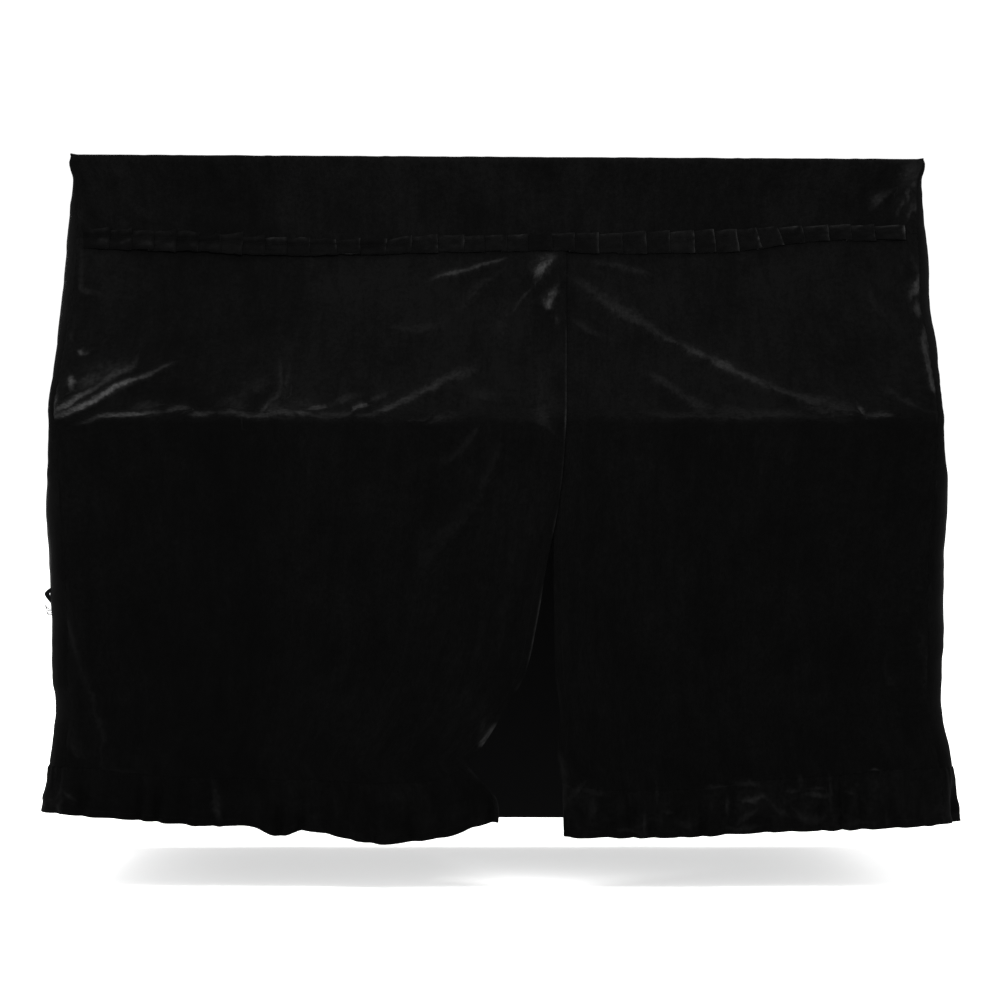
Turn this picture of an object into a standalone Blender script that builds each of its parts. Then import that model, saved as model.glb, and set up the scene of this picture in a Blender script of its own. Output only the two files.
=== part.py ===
"""Fitted velvet cover for an upright piano, in the shape in which it hangs on the instrument.

The cover is sewn from twelve pieces of cloth: a top panel, a front band, a pleated frill over the
seam below it, two front panels that part at a slit, two side panels, a back panel and four gathered
flounces along the foot. The piano is not part of the model, so the cover is hollow.

Metres, +Z up. The origin is the middle of the piano's lid, on the underside of the top panel.
The keyboard side faces -Y. A drop is a distance below the lid, so a drop of 0.4 lies at z = -0.4.
"""

import math
from collections import namedtuple

import bmesh
import bpy
from mathutils import Vector

# ------------------------------------------------------------------ driving sizes
LID_DEPTH = 0.332
KEYBOARD_OVERHANG = 0.300
SLOPE_START_DROP = 0.075
KEYBOARD_DROP = 0.455
FRONT_HEAD_DROP = 0.155
FRONT_FOOT_DROP = 1.075
SIDE_HEM_DROP = 1.146
BACK_HEM_DROP = 1.200

CLOTH = 0.002
FRILL_CLOTH = 0.0016
TOUCH_GAP = 0.0003
SEAM_GAP = 0.0006

FRONT_Y = -LID_DEPTH / 2
BACK_Y = LID_DEPTH / 2
SLOPE_RUN = KEYBOARD_OVERHANG / (KEYBOARD_DROP - SLOPE_START_DROP)
UPPER_BEND_SOFTNESS = 0.022
KEYBOARD_BEND_SOFTNESS = 0.005

# Stations go round the wall, on either hand, from the front's middle line to the back's.
CORNER_START, CORNER_SEAM, CORNER_END = 1.0, 1.25, 2.0
BACK_CORNER_START, BACK_CORNER_SEAM, BACK_CORNER_END = 3.0, 3.5, 4.0
BACK_MIDDLE = 5.0
LEFT, RIGHT = -1, 1

# ------------------------------------------------------------------ shape tables
# Half widths of the cover to the left and to the right, and the radius of its front corners.
Outline = namedtuple("Outline", "drop left right corner")
OUTLINE = [
    Outline(0.000, 0.753, 0.758, 0.006),
    Outline(0.012, 0.755, 0.761, 0.008),
    Outline(0.040, 0.750, 0.754, 0.014),
    Outline(0.100, 0.753, 0.754, 0.026),
    Outline(0.170, 0.752, 0.756, 0.032),
    Outline(0.265, 0.753, 0.750, 0.032),
    Outline(0.320, 0.754, 0.753, 0.026),
    Outline(0.420, 0.758, 0.754, 0.014),
    Outline(0.470, 0.756, 0.755, 0.016),
    Outline(0.600, 0.758, 0.760, 0.036),
    Outline(0.690, 0.754, 0.755, 0.042),
    Outline(0.830, 0.749, 0.752, 0.046),
    Outline(0.950, 0.742, 0.751, 0.046),
    Outline(1.010, 0.750, 0.762, 0.042),
    Outline(1.060, 0.753, 0.767, 0.038),
    Outline(1.200, 0.755, 0.766, 0.036),
]

# The back hangs straight from the lid, so it has its own even outline.
BACK_HALF_WIDTH = 0.752
BACK_CORNER = 0.012

# Upper and lower edges of the pleated frill, which sags a little between the corners.
FrillLine = namedtuple("FrillLine", "x top bottom")
FRILL_LINE = [
    FrillLine(-0.720, 0.125, 0.166),
    FrillLine(-0.610, 0.131, 0.168),
    FrillLine(-0.490, 0.139, 0.173),
    FrillLine(-0.330, 0.146, 0.177),
    FrillLine(-0.230, 0.151, 0.176),
    FrillLine(-0.110, 0.141, 0.171),
    FrillLine(0.050, 0.140, 0.170),
    FrillLine(0.110, 0.139, 0.171),
    FrillLine(0.230, 0.136, 0.172),
    FrillLine(0.430, 0.129, 0.169),
    FrillLine(0.550, 0.124, 0.152),
    FrillLine(0.722, 0.122, 0.148),
]

# Seam at the head of the front flounces, and their hem.
HemLine = namedtuple("HemLine", "x seam hem")
HEM_LINE = [
    HemLine(-0.780, 1.046, 1.122),
    HemLine(-0.690, 1.050, 1.132),
    HemLine(-0.600, 1.060, 1.139),
    HemLine(-0.500, 1.066, 1.148),
    HemLine(-0.410, 1.068, 1.151),
    HemLine(-0.370, 1.070, 1.163),
    HemLine(-0.320, 1.070, 1.155),
    HemLine(-0.200, 1.076, 1.175),
    HemLine(-0.110, 1.072, 1.168),
    HemLine(-0.030, 1.050, 1.147),
    HemLine(0.010, 1.046, 1.140),
    HemLine(0.110, 1.075, 1.166),
    HemLine(0.200, 1.088, 1.169),
    HemLine(0.320, 1.086, 1.168),
    HemLine(0.440, 1.072, 1.161),
    HemLine(0.560, 1.064, 1.157),
    HemLine(0.680, 1.052, 1.151),
    HemLine(0.780, 1.048, 1.141),
]

# Free edges of the two front panels at the slit. The left one hangs over the right one as far as
# a sitting player's knees, and is then drawn aside.
Slit = namedtuple("Slit", "drop left right")
SLIT = [
    Slit(0.150, 0.124, 0.100),
    Slit(0.310, 0.122, 0.099),
    Slit(0.480, 0.118, 0.098),
    Slit(0.600, 0.107, 0.098),
    Slit(0.700, 0.087, 0.098),
    Slit(0.800, 0.070, 0.099),
    Slit(0.890, 0.049, 0.101),
    Slit(0.960, 0.010, 0.109),
    Slit(1.010, -0.022, 0.106),
    Slit(1.042, -0.046, 0.104),
    Slit(1.070, -0.024, 0.112),
    Slit(1.105, 0.002, 0.117),
    Slit(1.170, 0.000, 0.121),
]

# Drag folds and creases in the front: each starts at its strong end, passes its middle and fades
# out at its end. The width is from the ridge to where it has mostly sunk, the height is outwards.
Fold = namedtuple("Fold", "x0 drop0 x1 drop1 x2 drop2 width height")
FRONT_FOLDS = [
    Fold(0.705, 0.048, 0.685, 0.074, 0.658, 0.104, 0.018, 0.0035),
    Fold(0.620, 0.452, 0.390, 0.376, 0.135, 0.215, 0.020, 0.0075),
    Fold(0.380, 0.444, 0.265, 0.387, 0.130, 0.285, 0.018, 0.0045),
    Fold(0.165, 0.186, 0.220, 0.200, 0.300, 0.214, 0.018, 0.0035),
    Fold(0.746, 0.462, 0.700, 0.436, 0.640, 0.392, 0.018, 0.0045),
    Fold(0.738, 0.420, 0.733, 0.350, 0.738, 0.280, 0.016, 0.0040),
    Fold(-0.752, 0.457, -0.660, 0.414, -0.535, 0.360, 0.018, 0.0085),
    Fold(-0.748, 0.430, -0.690, 0.380, -0.600, 0.320, 0.020, 0.0070),
    Fold(-0.260, 0.450, -0.110, 0.412, -0.010, 0.345, 0.019, 0.0050),
    Fold(0.095, 0.170, 0.000, 0.190, -0.110, 0.222, 0.017, 0.0065),
    Fold(0.105, 0.190, 0.070, 0.226, 0.030, 0.300, 0.016, 0.0055),
    Fold(0.060, 0.205, -0.060, 0.290, -0.190, 0.310, 0.026, 0.0050),
    Fold(-0.370, 0.452, -0.372, 0.400, -0.366, 0.330, 0.018, 0.0030),
    Fold(0.060, 0.470, -0.060, 0.520, -0.150, 0.566, 0.022, 0.0050),
    Fold(0.060, 0.480, -0.035, 0.600, -0.145, 0.720, 0.030, 0.0080),
    Fold(0.050, 0.680, 0.015, 0.800, -0.020, 0.960, 0.026, 0.0070),
    Fold(-0.742, 0.700, -0.705, 0.860, -0.655, 1.040, 0.024, 0.0080),
    Fold(-0.480, 0.560, -0.500, 0.800, -0.510, 1.070, 0.060, 0.0070),
    Fold(-0.250, 0.600, -0.230, 0.850, -0.200, 1.070, 0.055, 0.0075),
    Fold(0.300, 0.560, 0.290, 0.800, 0.270, 1.080, 0.055, 0.0065),
    Fold(0.540, 0.540, 0.560, 0.800, 0.580, 1.070, 0.060, 0.0070),
]

# The same for the sides, where x is the distance behind the front, and all hang nearly plumb.
SIDE_FOLDS = [
    Fold(0.070, 0.500, 0.090, 0.760, 0.110, 1.040, 0.035, 0.0080),
    Fold(0.200, 0.470, 0.220, 0.740, 0.235, 1.040, 0.045, 0.0090),
    Fold(0.360, 0.330, 0.380, 0.700, 0.385, 1.040, 0.050, 0.0080),
    Fold(0.500, 0.180, 0.510, 0.600, 0.520, 1.040, 0.040, 0.0060),
]
FOLD_RISE_END, FOLD_FADE_START = 0.16, 0.62
FOLD_SAMPLES = 12

# Slow waves in the cloth, along the wall.
Wave = namedtuple("Wave", "length height phase")
FRONT_SWAY = [Wave(0.700, 0.0035, 1.1), Wave(0.300, 0.0025, 0.4)]
SIDE_SWAY = [Wave(0.390, 0.0020, 1.0)]
BACK_SWAY = [Wave(0.450, 0.0040, 0.6)]

# Drops between which folds lie down above the frill and rise again below it, and stations between
# which they lie down at the corners.
FLAT_ABOVE_FRILL = (0.095, 0.118)
FLAT_BELOW_FRILL = (0.186, 0.214)
FRONT_FADE = (0.97, CORNER_SEAM)
SIDE_RISE = (CORNER_SEAM, 2.00)
SIDE_FADE = (2.85, BACK_CORNER_SEAM)
BACK_RISE = (BACK_CORNER_SEAM, 4.15)

# ------------------------------------------------------------------ laps, pleats and gathers
LAP_HEIGHT = 0.0034
LAP_START, LAP_FULL = 0.020, 0.090
UNDERLAP_START, UNDERLAP_END = 0.112, 0.150
FRILL_LAP_END, FRILL_LAP_FADE = 0.128, 0.170
CURL_HEIGHT, CURL_WIDTH = 0.014, 0.100
CURL_START_DROP, CURL_FULL_DROP = 0.62, 0.98

PLEAT_PITCH = 0.0412
PLEAT_STAND = 0.0034
PLEAT_EDGE = 0.0030
PLEAT_ROOT_SHARE = 0.45
FRILL_START, FRILL_END = -0.716, 0.722
FRILL_STAND = 0.0006

GATHER_PITCH = 0.046
GATHER_DEPTH = 0.0085
GATHER_SHIFTS = [Wave(0.290, 1.4, 0.0), Wave(0.117, 0.8, 0.0)]
GATHER_DEPTH_CHANGES = [Wave(0.190, 0.25, 0.9)]
GATHER_MEAN = 0.75
FLOUNCE_FLARE = 0.0035
FLOUNCE_FLARE_POWER = 0.8

TOP_WAVE = 0.0015
TOP_OVERLAP = 0.001
TOP_FLAT_EDGE = 0.09
LID_CLOTH_FALL = 0.0055
EAR_REACH, EAR_FORWARD, EAR_LIFT, EAR_SPREAD = 0.003, 0.0012, 0.0025, 0.030

# ------------------------------------------------------------------ how finely each piece is divided
FRONT_ARC_COLUMNS, SIDE_ARC_COLUMNS, BACK_ARC_COLUMNS = 1, 3, 2
LEFT_COLUMNS, RIGHT_COLUMNS = 36, 28
EDGE_CROWDING = 0.2
BAND_COLUMNS = 40
BAND_DROPS = [0.0, 0.045, 0.075, 0.100, 0.125, FRONT_HEAD_DROP]
SLOPE_ROWS, PLUMB_ROWS = 11, 8
BEND_ROW_STEP = 0.009
HEAD_FIT_END, FOOT_FIT_START = 0.380, 0.750
SIDE_COLUMNS = 10
BACK_COLUMNS, BACK_ROWS = 16, 8
TOP_COLUMNS, TOP_ROWS = 16, 4
FLOUNCE_ROWS = 2
SIDE_FLOUNCE_COLUMNS = 52
SIDE_HEM_BLEND = 0.4
FRILL_ROWS = 2
NORMAL_STEP = 0.002
SHARP_ANGLE = math.radians(50)


# ------------------------------------------------------------------ curves
def blend(low, high, value):
    """0 below low, 1 above high, and a smooth step between them."""
    t = min(max((value - low) / (high - low), 0.0), 1.0)
    return t * t * (3 - 2 * t)


def read(table, key, column, at):
    """A column of a table at any key, on a smooth curve through the rows."""
    rows = [(getattr(row, key), getattr(row, column)) for row in table]
    at = min(max(at, rows[0][0]), rows[-1][0])
    last = len(rows) - 2
    i = next((n for n in range(last + 1) if at <= rows[n + 1][0]), last)
    (k0, v0), (k1, v1) = rows[i], rows[i + 1]
    before, after = rows[max(i - 1, 0)], rows[min(i + 2, last + 1)]
    slope0 = (v1 - before[1]) / (k1 - before[0])
    slope1 = (after[1] - v0) / (after[0] - k0)
    t, width = (at - k0) / (k1 - k0), k1 - k0
    return (
        v0 * (1 + 2 * t) * (1 - t) ** 2
        + slope0 * width * t * (1 - t) ** 2
        + v1 * t * t * (3 - 2 * t)
        + slope1 * width * t * t * (t - 1)
    )


def waves(table, at):
    return sum(wave.height * math.sin(2 * math.pi * at / wave.length + wave.phase) for wave in table)


def steps(start, end, count):
    return [start + (end - start) * n / count for n in range(count + 1)]


def soft_ramp(value, softness):
    """Zero below 0 and the value itself above, with a rounded bend between."""
    scaled = value / softness
    if scaled > 30:
        return value
    return softness * math.log1p(math.exp(max(scaled, -30)))


def front_y(drop):
    """The front's profile: down from the lid, out over the keyboard, then plumb."""
    upper_bend = soft_ramp(drop - SLOPE_START_DROP, UPPER_BEND_SOFTNESS)
    keyboard_bend = soft_ramp(drop - KEYBOARD_DROP, KEYBOARD_BEND_SOFTNESS)
    return FRONT_Y - SLOPE_RUN * (upper_bend - keyboard_bend)


def cloth_length(drop):
    """The length of cloth from the lid down to a drop, over the slope."""
    on_slope = min(max(drop - SLOPE_START_DROP, 0), KEYBOARD_DROP - SLOPE_START_DROP)
    return drop + on_slope * (math.hypot(1, SLOPE_RUN) - 1)


# ------------------------------------------------------------------ the wall without its folds
def half_width(hand, drop):
    return read(OUTLINE, "drop", "left" if hand == LEFT else "right", drop)


def corner_radius(drop):
    return read(OUTLINE, "drop", "corner", drop)


def straight_front(hand, drop):
    """Half the front's width between its rounded corners."""
    return half_width(hand, drop) - corner_radius(drop)


def wall_point(hand, station, drop):
    """A point of the smooth wall. Stations under 1 are the front, 2 to 3 the side, 4 to 5 the back."""
    side, radius, front = half_width(hand, drop), corner_radius(drop), front_y(drop)
    if station <= CORNER_START:
        x, y = station * (side - radius), front
    elif station <= CORNER_END:
        angle = (station - CORNER_START) * math.pi / 2
        x = side - radius + radius * math.sin(angle)
        y = front + radius - radius * math.cos(angle)
    elif station <= BACK_CORNER_START:
        share = station - CORNER_END
        x = side + (BACK_HALF_WIDTH - side) * blend(0, 1, share)
        y = front + radius + (BACK_Y - BACK_CORNER - front - radius) * share
    elif station <= BACK_CORNER_END:
        angle = (station - BACK_CORNER_START) * math.pi / 2
        x = BACK_HALF_WIDTH - BACK_CORNER + BACK_CORNER * math.cos(angle)
        y = BACK_Y - BACK_CORNER + BACK_CORNER * math.sin(angle)
    else:
        x = (BACK_HALF_WIDTH - BACK_CORNER) * (BACK_MIDDLE - station)
        y = BACK_Y
    return Vector((hand * x, y, -drop))


def wall_normal(hand, station, drop):
    """The outward direction of the smooth wall."""
    before, after = station - NORMAL_STEP, station + NORMAL_STEP
    above, below = drop - NORMAL_STEP, drop + NORMAL_STEP
    along = wall_point(hand, after, drop) - wall_point(hand, before, drop)
    down = wall_point(hand, station, below) - wall_point(hand, station, above)
    return hand * down.cross(along).normalized()


# ------------------------------------------------------------------ folds
def fold_line(fold):
    """Points of a fold's ridge in the flat cloth, each with its share of the way along."""
    start = Vector((fold.x0, cloth_length(fold.drop0)))
    middle = Vector((fold.x1, cloth_length(fold.drop1)))
    end = Vector((fold.x2, cloth_length(fold.drop2)))
    line = []
    for t in steps(0, 1, FOLD_SAMPLES):
        point = start * (1 - t) * (1 - 2 * t) + middle * 4 * t * (1 - t) + end * t * (2 * t - 1)
        line.append((t, point))
    return line


FRONT_LINES = [(fold, fold_line(fold)) for fold in FRONT_FOLDS]
SIDE_LINES = [(fold, fold_line(fold)) for fold in SIDE_FOLDS]


def folds_at(lines, across, drop):
    """How far the folds stand out at one spot of the flat cloth."""
    here = Vector((across, cloth_length(drop)))
    height = 0.0
    for fold, line in lines:
        nearest, share = 1.0, 0.0
        for (t0, p0), (t1, p1) in zip(line, line[1:]):
            span = p1 - p0
            t = min(max((here - p0).dot(span) / span.length_squared, 0), 1)
            gap = (here - p0 - span * t).length
            if gap < nearest:
                nearest, share = gap, t0 + (t1 - t0) * t
        strength = blend(0, FOLD_RISE_END, share) * (1 - blend(FOLD_FADE_START, 1, share))
        height += fold.height * strength * math.exp(-((nearest / fold.width) ** 2))
    return height


def front_relief(x, drop):
    """Folds of the front. They lie flat where the frill is sewn over them."""
    beside_frill = 1 - blend(*FLAT_ABOVE_FRILL, drop) + blend(*FLAT_BELOW_FRILL, drop)
    sway = waves(FRONT_SWAY, x) * blend(KEYBOARD_DROP, FRONT_FOOT_DROP, drop)
    return folds_at(FRONT_LINES, x, drop) * beside_frill + sway


def side_relief(y, drop):
    behind = y - front_y(drop)
    return folds_at(SIDE_LINES, behind, drop) + waves(SIDE_SWAY, behind) * blend(0, KEYBOARD_DROP, drop)


def relief(hand, station, drop):
    """Folds anywhere on the wall. They fade out at the seams of the four corners."""
    point = wall_point(hand, station, drop)
    if station <= CORNER_SEAM:
        return front_relief(point.x, drop) * (1 - blend(*FRONT_FADE, station))
    if station <= BACK_CORNER_SEAM:
        return side_relief(point.y, drop) * blend(*SIDE_RISE, station) * (1 - blend(*SIDE_FADE, station))
    return waves(BACK_SWAY, point.x) * blend(*BACK_RISE, station) * blend(0, BACK_HEM_DROP, drop)


def over_lap(x, drop):
    """The left panel stands off the right one, and its free edge turns outwards lower down."""
    edge = read(SLIT, "drop", "left", drop)
    low = blend(CURL_START_DROP, CURL_FULL_DROP, drop)
    curl = CURL_HEIGHT * low * blend(edge - CURL_WIDTH, edge, x)
    return LAP_HEIGHT * blend(LAP_START, LAP_FULL, x) + curl


def front_stand_off(hand, station, drop):
    """Folds and laps of a front panel and its flounce."""
    x = wall_point(hand, station, drop).x
    stand_off = relief(hand, station, drop)
    if hand == LEFT:
        return stand_off + over_lap(x, drop)
    return stand_off * blend(UNDERLAP_START, UNDERLAP_END, x)


def girth(hand, station):
    """Distance round the cover's foot from the middle of the front."""
    straight, radius = straight_front(hand, FRONT_FOOT_DROP), corner_radius(FRONT_FOOT_DROP)
    arc = radius * math.pi / 2
    side = BACK_Y - BACK_CORNER - front_y(FRONT_FOOT_DROP) - radius
    on_front = straight * min(station, CORNER_START)
    on_corner = arc * min(max(station - CORNER_START, 0), 1)
    on_side = side * max(station - CORNER_END, 0)
    return hand * (on_front + on_corner + on_side)


def gathers(hand, station, fall):
    """Gathers of a flounce. fall is 0 at its seam and 1 at its hem."""
    at = girth(hand, station)
    turn = 2 * math.pi * at / GATHER_PITCH + waves(GATHER_SHIFTS, at)
    depth = GATHER_DEPTH * (GATHER_MEAN + waves(GATHER_DEPTH_CHANGES, at))
    away_from_back = 1 - blend(SIDE_FADE[0], BACK_CORNER_START, station)
    return away_from_back * fall**FLOUNCE_FLARE_POWER * (FLOUNCE_FLARE + depth * math.sin(turn))


def pleat(x):
    """Knife pleats: each rises slowly from under the next one and ends in a free folded edge."""
    share = (x - FRILL_START) / PLEAT_PITCH % 1
    rise = 1 - PLEAT_EDGE / PLEAT_PITCH
    return share / rise if share < rise else (1 - share) / (1 - rise)


# ------------------------------------------------------------------ seams that pieces share
def frill_seam(x):
    """The seam between band and front panels, which the frill's middle covers."""
    return (read(FRILL_LINE, "x", "top", x) + read(FRILL_LINE, "x", "bottom", x)) / 2


def wall_head(x):
    """Drop of a wall's head under the top panel, which lies higher at the cover's left end."""
    return TOUCH_GAP + LID_CLOTH_FALL * x


def band_drops(x):
    """Drops of the band's rows at one place, from under the top panel to the frill's seam."""
    head, foot = wall_head(x), frill_seam(x) - SEAM_GAP / 2
    return [head + (foot - head) * drop / FRONT_HEAD_DROP for drop in BAND_DROPS]


def band_drop(hand, station, row):
    """Drop of a row of the band at a station of the front."""
    return band_drops(wall_point(hand, station, BAND_DROPS[row]).x)[row]


def panel_drops():
    """Drops of a front panel's rows, with three close rows over the keyboard's edge."""
    above = steps(FRONT_HEAD_DROP, KEYBOARD_DROP - BEND_ROW_STEP, SLOPE_ROWS - 1)
    below = steps(KEYBOARD_DROP + BEND_ROW_STEP, FRONT_FOOT_DROP, PLUMB_ROWS)
    return above + [KEYBOARD_DROP] + below


def front_x(hand, drop, share):
    """x of a front panel's column: share 0 is at the rounded corner and 1 at the free edge."""
    corner = hand * straight_front(hand, drop)
    edge = read(SLIT, "drop", "left" if hand == LEFT else "right", drop)
    return corner + (edge - corner) * share * (1 + EDGE_CROWDING - EDGE_CROWDING * share)


def panel_drop(hand, share, base):
    """A row's drop once the panel's head follows the frill, and its foot the flounce's seam."""
    x = front_x(hand, base, share)
    head = frill_seam(x) + SEAM_GAP / 2 - FRONT_HEAD_DROP
    foot = read(HEM_LINE, "x", "seam", x) - SEAM_GAP / 2 - FRONT_FOOT_DROP
    near_head = 1 - blend(FRONT_HEAD_DROP, HEAD_FIT_END, base)
    near_foot = blend(FOOT_FIT_START, FRONT_FOOT_DROP, base)
    return base + head * near_head + foot * near_foot


def flounce_drop(hand, share, fall):
    """Drop of a spot on a front flounce, whose head follows the panel's foot."""
    x = front_x(hand, FRONT_FOOT_DROP + fall * (SIDE_HEM_DROP - FRONT_FOOT_DROP), share)
    seam = read(HEM_LINE, "x", "seam", x) + SEAM_GAP / 2
    return seam + (read(HEM_LINE, "x", "hem", x) - seam) * fall


def side_drops(hand):
    """Drops of a side panel's rows, which match the band and the front panel beside it."""
    beside_band = [band_drop(hand, CORNER_START, row) for row in range(len(BAND_DROPS) - 1)]
    return beside_band + [panel_drop(hand, 0, base) for base in panel_drops()]


def arc_station(seam, end, drop, share):
    """Station on a corner's arc: share 0 is half a gap beside the seam, share 1 is the arc's end."""
    radius = corner_radius(drop) if seam == CORNER_SEAM else BACK_CORNER
    half_gap = TOUCH_GAP / 2 / (radius * math.pi / 2)
    start = seam + math.copysign(half_gap, end - seam)
    return start + (end - start) * share


# ------------------------------------------------------------------ sheets
def cloth_sheet(name, columns, rows, place, thickness, material, collection):
    """A closed sheet of cloth. place(column, row) gives its outer point and its outward direction."""
    bm = bmesh.new()
    bmesh.ops.create_grid(bm, x_segments=columns, y_segments=rows, size=0.5)
    lifted = bmesh.ops.extrude_face_region(bm, geom=bm.faces[:])["geom"]
    outer = {item for item in lifted if isinstance(item, bmesh.types.BMVert)}
    for vertex in bm.verts:
        column = round((vertex.co.x + 0.5) * columns)
        row = round((0.5 - vertex.co.y) * rows)
        point, outward = place(column, row)
        vertex.co = point if vertex in outer else point - thickness * outward
    bmesh.ops.recalc_face_normals(bm, faces=bm.faces[:])
    mesh = bpy.data.meshes.new(name)
    bm.to_mesh(mesh)
    bm.free()
    mesh.shade_smooth()
    mesh.set_sharp_from_angle(angle=SHARP_ANGLE)
    mesh.materials.append(material)
    piece = bpy.data.objects.new(name, mesh)
    collection.objects.link(piece)
    return piece


def on_wall(hand, station, drop, stand_off):
    """A point that stands off the smooth wall, and the outward direction there."""
    outward = wall_normal(hand, station, drop)
    return wall_point(hand, station, drop) + stand_off * outward, outward


def side_station(drop, column, side_columns):
    """Station of a column between a front corner's seam and a back corner's."""
    past_arc = column - SIDE_ARC_COLUMNS
    to_seam = side_columns + BACK_ARC_COLUMNS - past_arc
    if past_arc < 0:
        return arc_station(CORNER_SEAM, CORNER_END, drop, column / SIDE_ARC_COLUMNS)
    if to_seam < BACK_ARC_COLUMNS:
        return arc_station(BACK_CORNER_SEAM, BACK_CORNER_START, drop, to_seam / BACK_ARC_COLUMNS)
    return CORNER_END + past_arc / side_columns


def front_station(hand, share, drop):
    return hand * front_x(hand, drop, share) / straight_front(hand, drop)


def top_panel(material, collection):
    """The panel over the lid. It covers the heads of the walls, and two corners end in small points."""
    left, right = -half_width(LEFT, 0) - TOP_OVERLAP, half_width(RIGHT, 0) + TOP_OVERLAP
    front, rear = FRONT_Y - TOP_OVERLAP, BACK_Y + TOP_OVERLAP
    xs = [left] + steps(left + EAR_SPREAD, right - EAR_SPREAD, TOP_COLUMNS) + [right]
    ys = steps(rear, front + EAR_SPREAD, TOP_ROWS) + [front]

    def place(column, row):
        x, y = xs[column], ys[row]
        hand, corner_x = (LEFT, left) if x < 0 else (RIGHT, right)
        ear = 1 - blend(0, EAR_SPREAD, math.hypot(x - corner_x, y - front))
        from_edge = min(x - left, right - x, y - front, rear - y)
        wave = TOP_WAVE * blend(0, TOP_FLAT_EDGE, from_edge) * (1 - math.cos(11 * x + 5 * y))
        reach = Vector((hand * EAR_REACH, -EAR_FORWARD, EAR_LIFT))
        return Vector((x, y, CLOTH + wave - LID_CLOTH_FALL * x)) + ear * reach, Vector((0, 0, 1))

    return cloth_sheet("top_panel", len(xs) - 1, len(ys) - 1, place, CLOTH, material, collection)


def front_band(material, collection):
    """The band from the lid's front edge to the frill, between the two corner seams."""
    columns = BAND_COLUMNS + 2 * FRONT_ARC_COLUMNS

    def place(column, row):
        across = 2 * (column - FRONT_ARC_COLUMNS) / BAND_COLUMNS - 1
        hand = LEFT if across < 0 else RIGHT
        station = min(abs(across), CORNER_START)
        drop = band_drop(hand, station, row)
        from_seam = min(column, columns - column) / FRONT_ARC_COLUMNS
        if from_seam < 1:
            station = arc_station(CORNER_SEAM, CORNER_START, drop, from_seam)
        return on_wall(hand, station, drop, relief(hand, station, drop))

    rows = len(BAND_DROPS) - 1
    return cloth_sheet("front_band", columns, rows, place, CLOTH, material, collection)


def pleated_frill(material, collection):
    """The pleated strip, which lies on the band's foot and the front panels' heads."""
    pleats = round((FRILL_END - FRILL_START) / PLEAT_PITCH)
    free_edge = PLEAT_PITCH - PLEAT_EDGE
    stops = [0, free_edge / 2, free_edge]
    xs = [FRILL_START + n * PLEAT_PITCH + stop for n in range(pleats) for stop in stops]
    xs.append(FRILL_START + pleats * PLEAT_PITCH)

    def place(column, row):
        x, fall = xs[column], row / FRILL_ROWS
        top, bottom = read(FRILL_LINE, "x", "top", x), read(FRILL_LINE, "x", "bottom", x)
        drop = top + (bottom - top) * fall
        hand = LEFT if x < 0 else RIGHT
        station = hand * x / straight_front(hand, drop)
        past_lap = blend(FRILL_LAP_END, FRILL_LAP_FADE, x)
        on_lap = LAP_HEIGHT * blend(LAP_START, LAP_FULL, x) * (1 - past_lap)
        rise = PLEAT_STAND * (PLEAT_ROOT_SHARE + (1 - PLEAT_ROOT_SHARE) * fall) * pleat(x)
        return on_wall(hand, station, drop, on_lap + FRILL_STAND + FRILL_CLOTH + rise)

    columns = len(xs) - 1
    return cloth_sheet("pleated_frill", columns, FRILL_ROWS, place, FRILL_CLOTH, material, collection)


def front_panel(name, hand, panel_columns, material, collection):
    """One half of the front, from its corner seam to its free edge at the slit."""
    rows = panel_drops()

    def place(column, row):
        share = max(column - FRONT_ARC_COLUMNS, 0) / panel_columns
        drop = panel_drop(hand, share, rows[row])
        station = front_station(hand, share, drop)
        if column < FRONT_ARC_COLUMNS:
            station = arc_station(CORNER_SEAM, CORNER_START, drop, column / FRONT_ARC_COLUMNS)
        return on_wall(hand, station, drop, front_stand_off(hand, station, drop))

    columns = panel_columns + FRONT_ARC_COLUMNS
    return cloth_sheet(name, columns, len(rows) - 1, place, CLOTH, material, collection)


def side_panel(name, hand, material, collection):
    """A side panel, whose front edge follows the front's slope and the keyboard's edge."""
    columns = SIDE_ARC_COLUMNS + SIDE_COLUMNS + BACK_ARC_COLUMNS
    rows = side_drops(hand)

    def place(column, row):
        drop = rows[row]
        station = side_station(drop, column, SIDE_COLUMNS)
        return on_wall(hand, station, drop, relief(hand, station, drop))

    return cloth_sheet(name, columns, len(rows) - 1, place, CLOTH, material, collection)


def back_panel(material, collection):
    """The plain back panel, between the two back corner seams."""
    columns = BACK_COLUMNS + 2 * BACK_ARC_COLUMNS

    def place(column, row):
        across = 2 * (column - BACK_ARC_COLUMNS) / BACK_COLUMNS - 1
        hand = LEFT if across < 0 else RIGHT
        station = BACK_MIDDLE - min(abs(across), 1)
        head = wall_head(wall_point(hand, station, 0).x)
        drop = head + (BACK_HEM_DROP - head) * row / BACK_ROWS
        from_seam = min(column, columns - column) / BACK_ARC_COLUMNS
        if from_seam < 1:
            station = arc_station(BACK_CORNER_SEAM, BACK_CORNER_END, drop, from_seam)
        return on_wall(hand, station, drop, relief(hand, station, drop))

    return cloth_sheet("back_panel", columns, BACK_ROWS, place, CLOTH, material, collection)


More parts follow.
